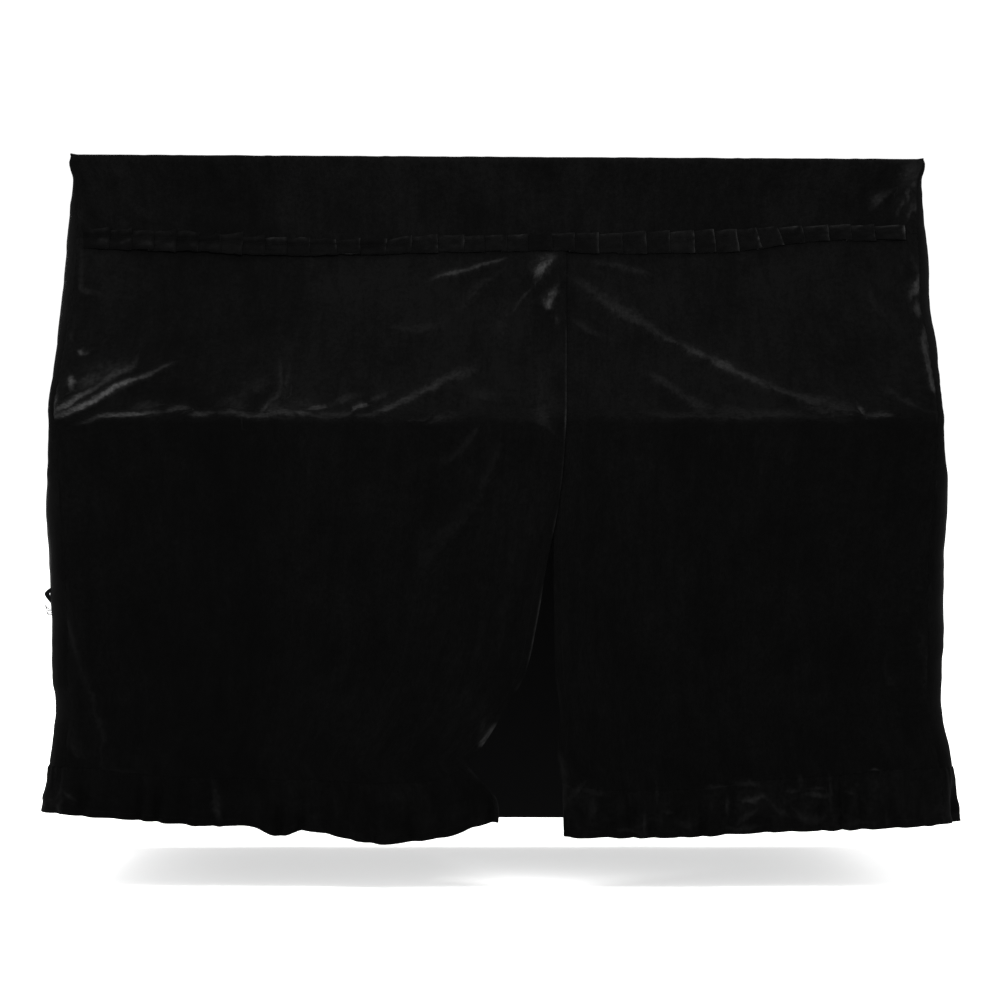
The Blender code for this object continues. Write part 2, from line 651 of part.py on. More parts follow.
def front_flounce(name, hand, panel_columns, material, collection):
    """A gathered strip along the foot of one front panel, with two columns to each of the panel's."""
    flounce_columns = 2 * panel_columns

    def place(column, row):
        fall = row / FLOUNCE_ROWS
        share = max(column - FRONT_ARC_COLUMNS, 0) / flounce_columns
        drop = flounce_drop(hand, share, fall)
        station = front_station(hand, share, drop)
        if column < FRONT_ARC_COLUMNS:
            station = arc_station(CORNER_SEAM, CORNER_START, drop, column / FRONT_ARC_COLUMNS)
        stand_off = front_stand_off(hand, station, drop) + gathers(hand, station, fall)
        return on_wall(hand, station, drop, stand_off)

    columns = flounce_columns + FRONT_ARC_COLUMNS
    return cloth_sheet(name, columns, FLOUNCE_ROWS, place, CLOTH, material, collection)


def side_flounce(name, hand, material, collection):
    """A gathered strip along the foot of one side panel, from corner seam to corner seam."""
    columns = SIDE_ARC_COLUMNS + SIDE_FLOUNCE_COLUMNS + BACK_ARC_COLUMNS
    seam = flounce_drop(hand, 0, 0)

    def place(column, row):
        fall = row / FLOUNCE_ROWS
        at_corner = flounce_drop(hand, 0, fall)
        along_side = seam + (SIDE_HEM_DROP - seam) * fall
        away = blend(SIDE_ARC_COLUMNS, SIDE_HEM_BLEND * SIDE_FLOUNCE_COLUMNS, column)
        drop = at_corner + (along_side - at_corner) * away
        station = side_station(drop, column, SIDE_FLOUNCE_COLUMNS)
        stand_off = relief(hand, station, drop) + gathers(hand, station, fall)
        return on_wall(hand, station, drop, stand_off)

    return cloth_sheet(name, columns, FLOUNCE_ROWS, place, CLOTH, material, collection)


# ------------------------------------------------------------------ materials
def velvet(name, colour, roughness):
    material = bpy.data.materials.new(name)
    material.use_nodes = True
    shader = material.node_tree.nodes["Principled BSDF"]
    shader.inputs["Base Color"].default_value = (*colour, 1)
    shader.inputs["Roughness"].default_value = roughness
    shader.inputs["Metallic"].default_value = 0.0
    shader.inputs["Sheen Weight"].default_value = 0.4
    return material


# ------------------------------------------------------------------ the cover
def main():
    for item in list(bpy.data.objects):
        bpy.data.objects.remove(item, do_unlink=True)
    cover = bpy.data.collections.new("piano_cover")
    bpy.context.scene.collection.children.link(cover)
    pile = velvet("black_velvet", (0.010, 0.010, 0.010), 0.85)
    trim = velvet("black_velvet_trim", (0.013, 0.013, 0.013), 0.80)

    top_panel(pile, cover)
    front_band(pile, cover)
    front_panel("front_left_panel", LEFT, LEFT_COLUMNS, pile, cover)
    front_panel("front_right_panel", RIGHT, RIGHT_COLUMNS, pile, cover)
    side_panel("left_side_panel", LEFT, pile, cover)
    side_panel("right_side_panel", RIGHT, pile, cover)
    back_panel(pile, cover)
    pleated_frill(trim, cover)
    front_flounce("front_left_flounce", LEFT, LEFT_COLUMNS, trim, cover)
    front_flounce("front_right_flounce", RIGHT, RIGHT_COLUMNS, trim, cover)
    side_flounce("left_side_flounce", LEFT, trim, cover)
    side_flounce("right_side_flounce", RIGHT, trim, cover)


main()
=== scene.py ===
import math
from functools import partial

import bpy
import numpy as np
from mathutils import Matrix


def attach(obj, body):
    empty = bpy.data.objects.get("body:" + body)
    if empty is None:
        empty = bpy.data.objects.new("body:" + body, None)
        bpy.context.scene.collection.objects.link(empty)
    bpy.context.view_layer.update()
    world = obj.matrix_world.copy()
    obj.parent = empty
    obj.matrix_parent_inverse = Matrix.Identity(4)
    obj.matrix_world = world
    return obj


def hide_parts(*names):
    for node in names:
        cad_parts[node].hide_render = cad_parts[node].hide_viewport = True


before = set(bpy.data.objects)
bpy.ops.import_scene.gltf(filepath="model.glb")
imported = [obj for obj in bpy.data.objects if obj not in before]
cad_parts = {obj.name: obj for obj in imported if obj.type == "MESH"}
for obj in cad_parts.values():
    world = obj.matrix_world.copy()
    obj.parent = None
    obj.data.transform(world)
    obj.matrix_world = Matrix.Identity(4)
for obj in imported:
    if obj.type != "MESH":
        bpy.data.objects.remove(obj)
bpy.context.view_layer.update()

# ------------------------------------------------------------------ top panel
# The rectangle of black velvet on the piano's lid, 1.51 m by 0.33 m. Its edges are turned in and
# sewn over the heads of the walls, and the two front corners end in a small rounded lobe of seam.
CLOTH, SMOOTH_UNDER = 0.002, math.radians(75)
TOP_LEFT, TOP_RIGHT, TOP_FRONT, TOP_BACK = -0.754, 0.759, -0.167, 0.167
TOP_HALF_BACK = 0.7535
LID_CLOTH_FALL = 0.0055
TOP_WAVE, TOP_WAVE_TURNS, TOP_FLAT_EDGE = 0.0015, (11, 5), 0.09
LOBE_REACH, LOBE_FORWARD, LOBE_LIFT, LOBE_SPREAD = 0.0020, 0.0012, 0.0022, 0.016
CORNER_ROUND = 0.012
SEAM_ROLL, SEAM_ROLL_WIDTH, SEAM_WANDER = 0.0009, 0.004, 0.0005
RUMPLE, RUMPLE_SIZE, RUMPLE_FLAT_EDGE = 0.0008, 0.07, 0.03
# EDGE_HIGHLIGHT is a painted highlight along the turned-in edges.
EDGE_HIGHLIGHT, EDGE_REACH = 0.05, 0.003
STITCH, STITCH_PITCH, STITCH_LIFT = (0.0006, 0.0005, 0.0032), 0.0045, 0.0001
SEWN_ROWS, SEWN_ENDS = (0.027, 0.973), (0.006, 0.994)  # 9 mm inside the edges


def ease(low, high, value):
    """0 below low, 1 above high, and a smooth step between them."""
    share = np.clip((value - low) / (high - low), 0, 1)
    return share * share * (3 - 2 * share)


def bump(value, middle, spread):
    """1 at the middle, and a soft fall to 0 on both sides of it."""
    return np.exp(-(((value - middle) / spread) ** 2))


def crumple(across, down, size, seed):
    """Smooth random waves of about one size, between -1 and 1."""
    lattice = np.random.default_rng(seed).uniform(-1, 1, (64, 64))
    column, row = np.floor(across / size).astype(int), np.floor(down / size).astype(int)
    right = ease(0, 1, across / size - column)
    lower = ease(0, 1, down / size - row)
    above = lattice[row % 64, column % 64] * (1 - right) + lattice[row % 64, (column + 1) % 64] * right
    row = row + 1
    below = lattice[row % 64, column % 64] * (1 - right) + lattice[row % 64, (column + 1) % 64] * right
    return above * (1 - lower) + below * lower


def hang_cloth(name, columns, rows, hang, thickness, cut, velvet):
    """Lays out a flat cut of cloth, hangs it by hang(across, fall) and gives it its thickness."""
    bpy.ops.object.select_all(action="DESELECT")
    bpy.ops.mesh.primitive_grid_add(x_subdivisions=columns, y_subdivisions=rows, size=1, location=(0, 0, 0))
    cloth = bpy.context.object
    cloth.name = cloth.data.name = name
    flat = np.empty(len(cloth.data.vertices) * 3)
    cloth.data.vertices.foreach_get("co", flat)
    across, fall = flat[0::3] + 0.5, 0.5 - flat[1::3]
    points, pile = hang(across, fall)
    cloth.data.vertices.foreach_set("co", points.ravel())
    corners = np.empty(len(cloth.data.loops), dtype=np.int32)
    cloth.data.loops.foreach_get("vertex_index", corners)
    pattern = np.column_stack((across * cut[0], (1 - fall) * cut[1]))[corners]
    cloth.data.uv_layers.active.data.foreach_set("uv", pattern.ravel())
    for attribute, amount in {**pile, "reverse": 0 * across}.items():
        cloth.data.attributes.new(attribute, "FLOAT", "POINT").data.foreach_set("value", amount)
    body = cloth.modifiers.new("body", "SOLIDIFY")
    body.thickness, body.offset = thickness, -1
    bpy.ops.object.modifier_apply(modifier=body.name)
    inner = np.arange(len(cloth.data.vertices)) >= len(across)
    cloth.data.attributes["reverse"].data.foreach_set("value", inner.astype(np.float32))
    bpy.ops.object.shade_smooth_by_angle(angle=SMOOTH_UNDER)
    cloth.data.materials.append(velvet)
    return cloth


def raise_surface(material, height, strength, distance):
    """Fine relief on a surface, too low for its mesh. distance is its height in metres."""
    relief = material.node_tree.nodes.new("ShaderNodeBump")
    relief.inputs["Strength"].default_value = strength
    relief.inputs["Distance"].default_value = distance
    material.node_tree.links.new(height, relief.inputs["Height"])
    return relief


def dye_velvet(name, dark_tone, light_tone, highlight_paint, backing):
    """Black pile fabric: the pile's own grain and brushed patches, with painted light, shade and highlights.

    It reads what each piece of cloth knows of its pile: painted_light_and_tone is its tone, with painted
    light and shade, painted_highlight_and_brushing its painted highlight at edges and its brushed patches,
    gleam_1 to gleam_4 the painted highlights on the crests of four groups of folds, crest_1 to crest_4
    the distance from those crests in half widths, and reverse is 1 on the cloth's knitted back.
    """
    material = bpy.data.materials.new(name)
    material.use_nodes = True
    nodes, links = material.node_tree.nodes, material.node_tree.links
    shader = nodes["Principled BSDF"]
    shader.inputs["Roughness"].default_value = 0.92
    shader.inputs["IOR"].default_value = 1.2
    shader.inputs["Specular IOR Level"].default_value = 0.1
    shader.inputs["Sheen Weight"].default_value = 0.0035
    shader.inputs["Sheen Roughness"].default_value = 0.38
    shader.inputs["Sheen Tint"].default_value = (0.80, 0.82, 0.86, 1)
    flat_cut = nodes.new("ShaderNodeUVMap")
    flat_cut.uv_map = "UVMap"

    def grain(scale, stretch, detail, roughness):
        """A noise on the flat cut, in metres: scale is spots a metre, stretch is along the nap."""
        spread = nodes.new("ShaderNodeMapping")
        spread.inputs["Scale"].default_value = (scale, scale / stretch, 1)
        links.new(flat_cut.outputs["UV"], spread.inputs["Vector"])
        noise = nodes.new("ShaderNodeTexNoise")
        noise.inputs["Scale"].default_value = 1
        noise.inputs["Detail"].default_value = detail
        noise.inputs["Roughness"].default_value = roughness
        links.new(spread.outputs["Vector"], noise.inputs["Vector"])
        return noise.outputs["Fac"]

    def known(attribute):
        reader = nodes.new("ShaderNodeAttribute")
        reader.attribute_name = attribute
        return reader.outputs["Fac"]

    def to_range(value, low, high, to_low, to_high, interpolation="LINEAR"):
        span = nodes.new("ShaderNodeMapRange")
        span.interpolation_type = interpolation
        for socket, number in zip(("From Min", "From Max", "To Min", "To Max"), (low, high, to_low, to_high)):
            span.inputs[socket].default_value = number
        links.new(value, span.inputs["Value"])
        return span.outputs["Result"]

    def combine(operation, *values):
        """Adds, multiplies or takes the greatest of several values, one after the other."""
        total = values[0]
        for value in values[1:]:
            step = nodes.new("ShaderNodeMath")
            step.operation = operation
            links.new(total, step.inputs[0])
            links.new(value, step.inputs[1])
            total = step.outputs[0]
        return total

    def blend_colour(share, first, second):
        mix = nodes.new("ShaderNodeMix")
        mix.data_type = "RGBA"
        for socket, colour in (("A", first), ("B", second)):
            target = next(item for item in mix.inputs if item.name == socket and item.type == "RGBA")
            if isinstance(colour, tuple):
                target.default_value = (*colour, 1)
            else:
                links.new(colour, target)
        links.new(share, mix.inputs["Factor"])
        return next(item for item in mix.outputs if item.type == "RGBA")

    pile = grain(900, 2.2, 2, 0.6)
    brushed = grain(9, 1.5, 6, 0.62)
    stroked = grain(60, 5, 2, 0.5)
    tufted = grain(170, 1.3, 3, 0.65)
    wavering = grain(75, 1, 3, 0.6)
    broken = grain(34, 1, 2, 0.5)
    # Tone of the pile: its random grain and patches, times painted_light_and_tone, the painted light and
    # shade.
    tone_with_painted_light = combine(
        "MULTIPLY",
        to_range(brushed, 0.36, 0.66, 0.68, 1.36),
        to_range(stroked, 0.25, 0.75, 0.70, 1.30),
        to_range(tufted, 0.30, 0.70, 0.58, 1.40),
        to_range(wavering, 0.30, 0.70, 0.78, 1.22),
        to_range(broken, 0.30, 0.70, 0.85, 1.15),
        known("painted_light_and_tone"),
        to_range(pile, 0.25, 0.75, 0.55, 1.35),
    )
    waver = to_range(wavering, 0.30, 0.70, -0.75, 0.75)
    # Painted highlights on the crests of the folds: a bright core and a soft halo, as strong as gleam_1 to
    # gleam_4.
    crests = []
    for group in "1234":
        aside = nodes.new("ShaderNodeMath")
        aside.operation = "ABSOLUTE"
        links.new(combine("ADD", known(f"crest_{group}"), waver), aside.inputs[0])
        crest = to_range(aside.outputs[0], 0.2, 2.0, 0.80, 0, "SMOOTHSTEP")
        halo = to_range(aside.outputs[0], 0.0, 4.2, 0.20, 0, "SMOOTHSTEP")
        crests.append(combine("MULTIPLY", combine("ADD", crest, halo), known(f"gleam_{group}")))
    tufts = to_range(tufted, 0.34, 0.62, 0.62, 1.22)
    # The painted highlight, at edges and on crests, broken up by tufts and grain, blends towards
    # highlight_paint.
    highlight_strength = combine(
        "MULTIPLY",
        combine("MAXIMUM", known("painted_highlight_and_brushing"), *crests),
        tufts,
        to_range(broken, 0.36, 0.52, 0.55, 1.1),
        to_range(pile, 0.25, 0.75, 0.75, 1.15),
    )
    face = blend_colour(highlight_strength, blend_colour(tone_with_painted_light, dark_tone, light_tone), highlight_paint)
    links.new(blend_colour(known("reverse"), face, backing), shader.inputs["Base Color"])

    nap = raise_surface(material, pile, 0.35, 0.0008)
    lay = raise_surface(material, stroked, 0.30, 0.0030)
    links.new(nap.outputs["Normal"], lay.inputs["Normal"])
    links.new(lay.outputs["Normal"], shader.inputs["Normal"])
    return material


# Its third colour is that of the painted highlights and the brushed patches.
velvet = dye_velvet("black_velvet", (0.0002,) * 3, (0.00165,) * 3, (0.030,) * 3, (0.0052, 0.0052, 0.0053))


def seam_on(hang, across, fall):
    """A line of sewing on a piece of cloth: its points, and the way out from the cloth there."""
    right = hang(across + 0.002, fall)[0] - hang(across - 0.002, fall)[0]
    down = hang(across, fall + 0.01)[0] - hang(across, fall - 0.01)[0]
    outward = np.cross(down, right)
    return hang(across, fall)[0], outward / np.linalg.norm(outward, axis=1, keepdims=True)


def sew(name, seams, thread):
    """Models one stitch and copies it along lines of sewing."""
    bpy.ops.object.select_all(action="DESELECT")
    bpy.ops.mesh.primitive_uv_sphere_add(segments=6, ring_count=3, radius=0.5, location=(0, 0, 0))
    stitches = bpy.context.object
    stitches.name = stitches.data.name = name
    ball = np.array([vertex.co for vertex in stitches.data.vertices]) * STITCH
    faces = [list(face.vertices) for face in stitches.data.polygons]
    copies = []
    for points, outward in seams:
        length = np.append(0, np.cumsum(np.linalg.norm(np.diff(points, axis=0), axis=1)))
        at = np.arange(STITCH_PITCH / 2, length[-1], STITCH_PITCH)

        def on_line(rows, places):
            return np.column_stack([np.interp(places, length, row) for row in rows.T])

        ahead = on_line(points, at + STITCH_PITCH / 4) - on_line(points, at - STITCH_PITCH / 4)
        ahead /= np.linalg.norm(ahead, axis=1, keepdims=True)
        out = on_line(outward, at)
        axes = np.stack([np.cross(out, ahead), out, ahead], axis=1)
        copies.append((on_line(points, at) + STITCH_LIFT * out)[:, None] + ball @ axes)
    copies = np.concatenate(copies)
    firsts = range(0, len(copies) * len(ball), len(ball))
    all_faces = [[first + corner for corner in face] for first in firsts for face in faces]
    stitches.data.clear_geometry()
    stitches.data.from_pydata(copies.reshape(-1, 3).tolist(), [], all_faces)
    bpy.ops.object.shade_smooth()
    stitches.data.materials.append(thread)
    return stitches


def spin_thread():
    """Black sewing thread, which sinks into the pile, with the twist of its yarn."""
    material = bpy.data.materials.new("black_thread")
    material.use_nodes = True
    nodes, links = material.node_tree.nodes, material.node_tree.links
    shader = nodes["Principled BSDF"]
    shader.inputs["Roughness"].default_value = 0.75
    shader.inputs["Specular IOR Level"].default_value = 0.05
    place = nodes.new("ShaderNodeTexCoord")
    twist = nodes.new("ShaderNodeTexNoise")
    twist.inputs["Scale"].default_value = 1400
    links.new(place.outputs["Object"], twist.inputs["Vector"])
    shades = nodes.new("ShaderNodeValToRGB")
    shades.color_ramp.elements[0].color = (0.0003, 0.0003, 0.0003, 1)
    shades.color_ramp.elements[1].color = (0.0020, 0.0020, 0.0021, 1)
    links.new(twist.outputs["Fac"], shades.inputs["Fac"])
    links.new(shades.outputs["Color"], shader.inputs["Base Color"])
    relief = raise_surface(material, twist.outputs["Fac"], 0.4, 0.0002)
    links.new(relief.outputs["Normal"], shader.inputs["Normal"])
    return material


black_thread = spin_thread()


def hang_top(across, fall):
    x = TOP_LEFT + (TOP_RIGHT - TOP_LEFT) * across
    y = TOP_BACK + (TOP_FRONT - TOP_BACK) * fall
    hand = np.where(x < 0, -1, 1)
    corner_x = np.where(x < 0, TOP_LEFT, TOP_RIGHT)
    lobe = 1 - ease(0, LOBE_SPREAD, np.hypot(x - corner_x, y - TOP_FRONT))
    from_edge = np.minimum.reduce([x - TOP_LEFT, TOP_RIGHT - x, y - TOP_FRONT, TOP_BACK - y])
    turn = TOP_WAVE_TURNS[0] * x + TOP_WAVE_TURNS[1] * y
    swell = TOP_WAVE * ease(0, TOP_FLAT_EDGE, from_edge) * (1 - np.cos(turn))
    roll = SEAM_ROLL * bump(from_edge, SEAM_ROLL_WIDTH, SEAM_ROLL_WIDTH)
    wander = SEAM_WANDER * crumple(x, y, 0.013, 3) * np.exp(-from_edge / 0.02)
    rumple = RUMPLE * crumple(x, y, RUMPLE_SIZE, 4) * ease(0, RUMPLE_FLAT_EDGE, from_edge)
    z = CLOTH + swell + roll + wander + rumple - LID_CLOTH_FALL * x
    near_end = np.clip(1 - np.abs(x - corner_x) / CORNER_ROUND, 0, 1)
    near_long_edge = np.clip(1 - np.minimum(y - TOP_FRONT, TOP_BACK - y) / CORNER_ROUND, 0, 1)
    inwards = 1 - np.maximum(near_end, near_long_edge) / np.maximum(np.hypot(near_end, near_long_edge), 1e-6)
    narrowing = 1 + (1 - fall) * (TOP_HALF_BACK / np.abs(corner_x) - 1)
    x = narrowing * (x + hand * (lobe * LOBE_REACH - CORNER_ROUND * near_end * inwards))
    y = y - lobe * LOBE_FORWARD - np.sign(y) * CORNER_ROUND * near_long_edge * inwards
    # A painted highlight along the edges, and a random tone.
    highlight_paint, pile_tone = EDGE_HIGHLIGHT * np.exp(-from_edge / EDGE_REACH), 0.55 + 0.1 * crumple(x, y, 0.11, 5)
    return np.column_stack((x, y, z + lobe * LOBE_LIFT)), dict(painted_highlight_and_brushing=highlight_paint, painted_light_and_tone=pile_tone)


top_cloth = hang_cloth("top_cloth", 252, 56, hang_top, CLOTH, (1.513, 0.334), velvet)
run = np.linspace(0.008, 0.992, 1500)
rows = [seam_on(hang_top, run, 0 * run + fall) for fall in SEWN_ROWS]
ends = [seam_on(hang_top, 0 * run + across, 0.03 + 0.94 * run) for across in SEWN_ENDS]
top_stitches = sew("top_stitches", rows + ends, black_thread)
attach(top_stitches, "root")
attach(top_cloth, "root")
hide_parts("top_panel")

# ------------------------------------------------------------------ front band
# The shallow strip between the lid's front edge and the frill, 1.54 m by 0.15 m, of the same velvet.
# It is sewn into the two corner seams, and drag folds run down from the lobe at its right end.
LID_DEPTH, KEYBOARD_OVERHANG = 0.332, 0.300
SLOPE_START_DROP, KEYBOARD_DROP = 0.075, 0.455
FRONT_Y, BACK_Y = -LID_DEPTH / 2, LID_DEPTH / 2
SLOPE_RUN = KEYBOARD_OVERHANG / (KEYBOARD_DROP - SLOPE_START_DROP)
UPPER_BEND_SOFTNESS, KEYBOARD_BEND_SOFTNESS = 0.022, 0.005
BACK_HALF_WIDTH, BACK_CORNER = 0.752, 0.012
CORNER_SEAM, BACK_CORNER_SEAM = 1.25, 3.5  # stations on the wall
LEFT, RIGHT = -1, 1
CORNER_LAP, SEAM_LAP = 0.0004, 0.0010
BAND_FOOT_DROP, BAND_HEAD_DIP, BAND_HEAD_ROLL = 0.155, 0.0012, 0.0007
BAND_ARC = 0.010  # share of the cloth that lies round either corner
PUCKER, PUCKER_PITCH, PUCKER_REACH, TURNED_IN = 0.0005, 0.019, 0.014, 0.0020
FOLD_WOBBLE, FOLD_WOBBLE_SIZE = 0.0022, 0.014
CREST_BELOW, CREST_ABOVE = 0.75, 1.25
CREST_FADE, CREST_LIMIT, CREST_REACH, NO_CREST = (3.2, 4.6), 6, 8, 99.0  # in half widths


def table(rows):
    """Columns of a table that is written in millimetres and thousandths."""
    return np.array(rows).T / 1000


# Half widths of the cover on the left and on the right, and the radius of its front corners.
OUTLINE = table([  # drop, left, right, corner
    (0, 754.5, 758, 6),
    (10, 756.7, 762, 8),
    (22, 753.5, 760.5, 10),
    (40, 749.5, 756, 14),
    (100, 756, 760, 26),
    (170, 754, 761, 32),
    (265, 756, 755, 32),
    (320, 756, 758, 26),
    (420, 757, 755, 14),
    (470, 755, 757, 16),
    (600, 760, 764, 36),
    (690, 757, 760, 42),
    (830, 754, 760, 46),
    (900, 755, 759, 46),
    (950, 749, 759, 46),
    (1010, 756, 769, 42),
    (1060, 761, 777, 38),
    (1200, 769, 781, 36),
])

# Upper and lower edges of the frill, which sags a little between the corners.
FRILL_LINE = table([  # x, top, bottom
    (-720, 125, 166),
    (-610, 131, 168),
    (-490, 139, 173),
    (-330, 146, 177),
    (-230, 151, 176),
    (-110, 141, 171),
    (50, 140, 170),
    (110, 139, 171),
    (230, 136, 172),
    (430, 129, 169),
    (550, 124, 152),
    (722, 122, 148),
])


def curve(keys, values, at):
    """Values on a smooth curve through the rows of a table."""
    slopes = np.empty_like(values)
    slopes[1:-1] = (values[2:] - values[:-2]) / (keys[2:] - keys[:-2])
    slopes[0] = (values[1] - values[0]) / (keys[1] - keys[0])
    slopes[-1] = (values[-1] - values[-2]) / (keys[-1] - keys[-2])
    at = np.clip(at, keys[0], keys[-1])
    row = np.clip(np.searchsorted(keys, at) - 1, 0, len(keys) - 2)
    width = keys[row + 1] - keys[row]
    t = (at - keys[row]) / width
    return (
        values[row] * (1 + 2 * t) * (1 - t) ** 2
        + slopes[row] * width * t * (1 - t) ** 2
        + values[row + 1] * t * t * (3 - 2 * t)
        + slopes[row + 1] * width * t * t * (t - 1)
    )


def read_off(rows, column, at):
    """A column of a table, read at places along its first column."""
    return curve(rows[0], rows[column], at)


def wave(along, length, start=0):
    """Even waves of one length, between -1 and 1."""
    return np.sin(2 * math.pi * along / length + start)


def front_y(drop):
    """The front's profile: down from the lid, out over the keyboard, then plumb."""
    upper = UPPER_BEND_SOFTNESS * np.logaddexp(0, (drop - SLOPE_START_DROP) / UPPER_BEND_SOFTNESS)
    lower = KEYBOARD_BEND_SOFTNESS * np.logaddexp(0, (drop - KEYBOARD_DROP) / KEYBOARD_BEND_SOFTNESS)
    return FRONT_Y - SLOPE_RUN * (upper - lower)


def cloth_length(drop):
    """The length of cloth from the lid down to a drop, over the slope."""
    on_slope = np.clip(drop - SLOPE_START_DROP, 0, KEYBOARD_DROP - SLOPE_START_DROP)
    return drop + on_slope * (math.hypot(1, SLOPE_RUN) - 1)


def half_width(hand, drop):
    return np.where(np.less(hand, 0), read_off(OUTLINE, 1, drop), read_off(OUTLINE, 2, drop))


def corner_radius(drop):
    return read_off(OUTLINE, 3, drop)


def half_corner_lap(drop):
    """Half of the front corner's lap, in stations, by which both cloths pass the corner's seam."""
    return CORNER_LAP / 2 / (corner_radius(drop) * math.pi / 2)


def straight_front(hand, drop):
    return half_width(hand, drop) - corner_radius(drop)


def wall_point(hand, station, drop):
    """A point of the smooth wall. Stations 0 to 1 are the front, 2 to 3 the side, 4 to 5 the back."""
    side, radius, front = half_width(hand, drop), corner_radius(drop), front_y(drop)
    turn = np.clip(station - 1, 0, 1) * math.pi / 2
    share = np.clip(station - 2, 0, 1)
    back_turn = np.clip(station - 3, 0, 1) * math.pi / 2
    corner_x, corner_y = BACK_HALF_WIDTH - BACK_CORNER, BACK_Y - BACK_CORNER
    x = np.select(
        [station <= 2, station <= 3, station <= 4],
        [
            np.minimum(station, 1) * (side - radius) + radius * np.sin(turn),
            side + (BACK_HALF_WIDTH - side) * ease(0, 1, share),
            corner_x + BACK_CORNER * np.cos(back_turn),
        ],
        corner_x * (5 - station),
    )
    y = np.select(
        [station <= 2, station <= 3, station <= 4],
        [
            front + radius * (1 - np.cos(turn)),
            front + radius + (corner_y - front - radius) * share,
            corner_y + BACK_CORNER * np.sin(back_turn),
        ],
        BACK_Y,
    )
    return np.stack([hand * x, y, -drop], axis=-1)


def on_wall(hand, station, drop, stand_off):
    """Points that stand off the smooth wall, along its outward direction."""
    step = 0.002
    along = wall_point(hand, station + step, drop) - wall_point(hand, station - step, drop)
    down = wall_point(hand, station, drop + step) - wall_point(hand, station, drop - step)
    outward = np.cross(down, along) * np.reshape(hand, (-1, 1))
    outward /= np.linalg.norm(outward, axis=1, keepdims=True)
    return wall_point(hand, station, drop) + np.reshape(stand_off, (-1, 1)) * outward


def from_corner_seam(hand, station, drop):
    """Distance of cloth from the seam at the front corner."""
    straight, radius = straight_front(hand, drop), corner_radius(drop)
    arc = radius * math.pi / 2
    before = arc * (CORNER_SEAM - np.maximum(station, 1)) + straight * np.clip(1 - station, 0, 1)
    side = BACK_Y - front_y(drop)
    after = arc * (np.minimum(station, 2) - CORNER_SEAM) + side * np.clip(station - 2, 0, 1)
    return np.where(station < CORNER_SEAM, before, after)


def seam_pucker(distance, along, seed):
    """Cloth beside a seam: its edge turns in, and small puckers run out from the stitches."""
    dip = -PUCKER * bump(distance, 0, TURNED_IN)
    ripple = wave(along, PUCKER_PITCH, 3 * crumple(along, 0 * along, 0.06, seed))
    return dip + PUCKER * ripple * np.exp(-distance / PUCKER_REACH)


def dents(hand, station, drop):
    """Small dents of limp cloth round the front corners, the same on both sides of the seam."""
    large = 0.0016 * crumple(drop + hand, 0 * drop, 0.047, 24)
    small = 0.0009 * crumple(drop + hand, 0 * drop, 0.018, 25)
    round_corner = ease(0.86, 0.99, station) * (1 - ease(1.9, 2.3, station))
    return (large + small) * round_corner * ease(0.03, 0.08, drop)


def along_route(route, near_x, near_y):
    """For each spot, the offset from a route, positive above it, and the share of the route passed."""
    keys, shares = np.linspace(0, 1, len(route)), np.linspace(0, 1, 3 * len(route) + 1)
    line_x, line_y = curve(keys, route[:, 0], shares), curve(keys, route[:, 1], shares)
    heading = 1 if line_x[-1] >= line_x[0] else -1
    gap, share = np.full(near_x.shape, np.inf), np.zeros(near_x.shape)
    for n in range(len(shares) - 1):
        step_x, step_y = line_x[n + 1] - line_x[n], line_y[n + 1] - line_y[n]
        to_x, to_y = near_x - line_x[n], near_y - line_y[n]
        t = np.clip((to_x * step_x + to_y * step_y) / (step_x**2 + step_y**2), 0, 1)
        distance = np.hypot(to_x - t * step_x, to_y - t * step_y)
        nearer = distance < np.abs(gap)
        above = np.where((to_y * step_x - to_x * step_y) * heading > 0, -1, 1)
        gap = np.where(nearer, above * distance, gap)
        share = np.where(nearer, shares[n] + t * (shares[n + 1] - shares[n]), share)
    return gap, share


def close_to(route, reach, x, y):
    inside_x = (x > route[:, 0].min() - reach) & (x < route[:, 0].max() + reach)
    return inside_x & (y > route[:, 1].min() - reach) & (y < route[:, 1].max() + reach)


def fold_field(folds, across, drop):
    """How far drag folds stand out. They are steeper on their lower side."""
    length = cloth_length(drop)
    height = np.zeros_like(length)
    for route, width, rise, ends, steep in folds:
        route = np.column_stack((route[:, 0], cloth_length(route[:, 1])))
        near = close_to(route, 3 * width, across, length)
        spot_x = across[near] + FOLD_WOBBLE * crumple(across[near], length[near], FOLD_WOBBLE_SIZE, 12)
        spot_y = length[near] + FOLD_WOBBLE * crumple(across[near], length[near], FOLD_WOBBLE_SIZE, 13)
        gap, share = along_route(route, spot_x, spot_y)
        strength = ease(0, ends[0], share)
        if ends[1] < 1:
            strength = strength * (1 - ease(ends[1], 1, share))
        height[near] += rise * strength * bump(gap, 0, width * np.where(gap < 0, steep, 1))
    return height


def gleam_field(groups, x, drop):
    """Painted highlights on the crests of folds, for the velvet to read.

    A crest is a list of (x, drop, half width, painted highlight), in millimetres and thousandths. It is soft
    above and sharp below.
    """
    pile = {}
    for number, crests in enumerate(groups, 1):
        offset, highlight_strength = np.full(x.shape, NO_CREST), np.zeros(x.shape)
        for crest in crests:
            crest = np.array(crest) / 1000
            near = np.flatnonzero(close_to(crest, CREST_REACH * crest[:, 2].max(), x, drop))
            gap, share = along_route(crest[:, :2], x[near], drop[near])
            keys = np.linspace(0, 1, len(crest))
            half = curve(keys, crest[:, 2], share)
            gap = gap / (half * np.where(gap < 0, CREST_BELOW, CREST_ABOVE))
            nearer = np.abs(gap) < np.abs(offset[near])
            offset[near[nearer]] = gap[nearer]
            highlight_strength[near[nearer]] = np.maximum(curve(keys, crest[:, 3], share), 0)[nearer]
        pile[f"crest_{number}"] = np.clip(offset, -CREST_LIMIT, CREST_LIMIT)
        pile[f"gleam_{number}"] = highlight_strength * (1 - ease(*CREST_FADE, np.abs(offset)))
    return pile


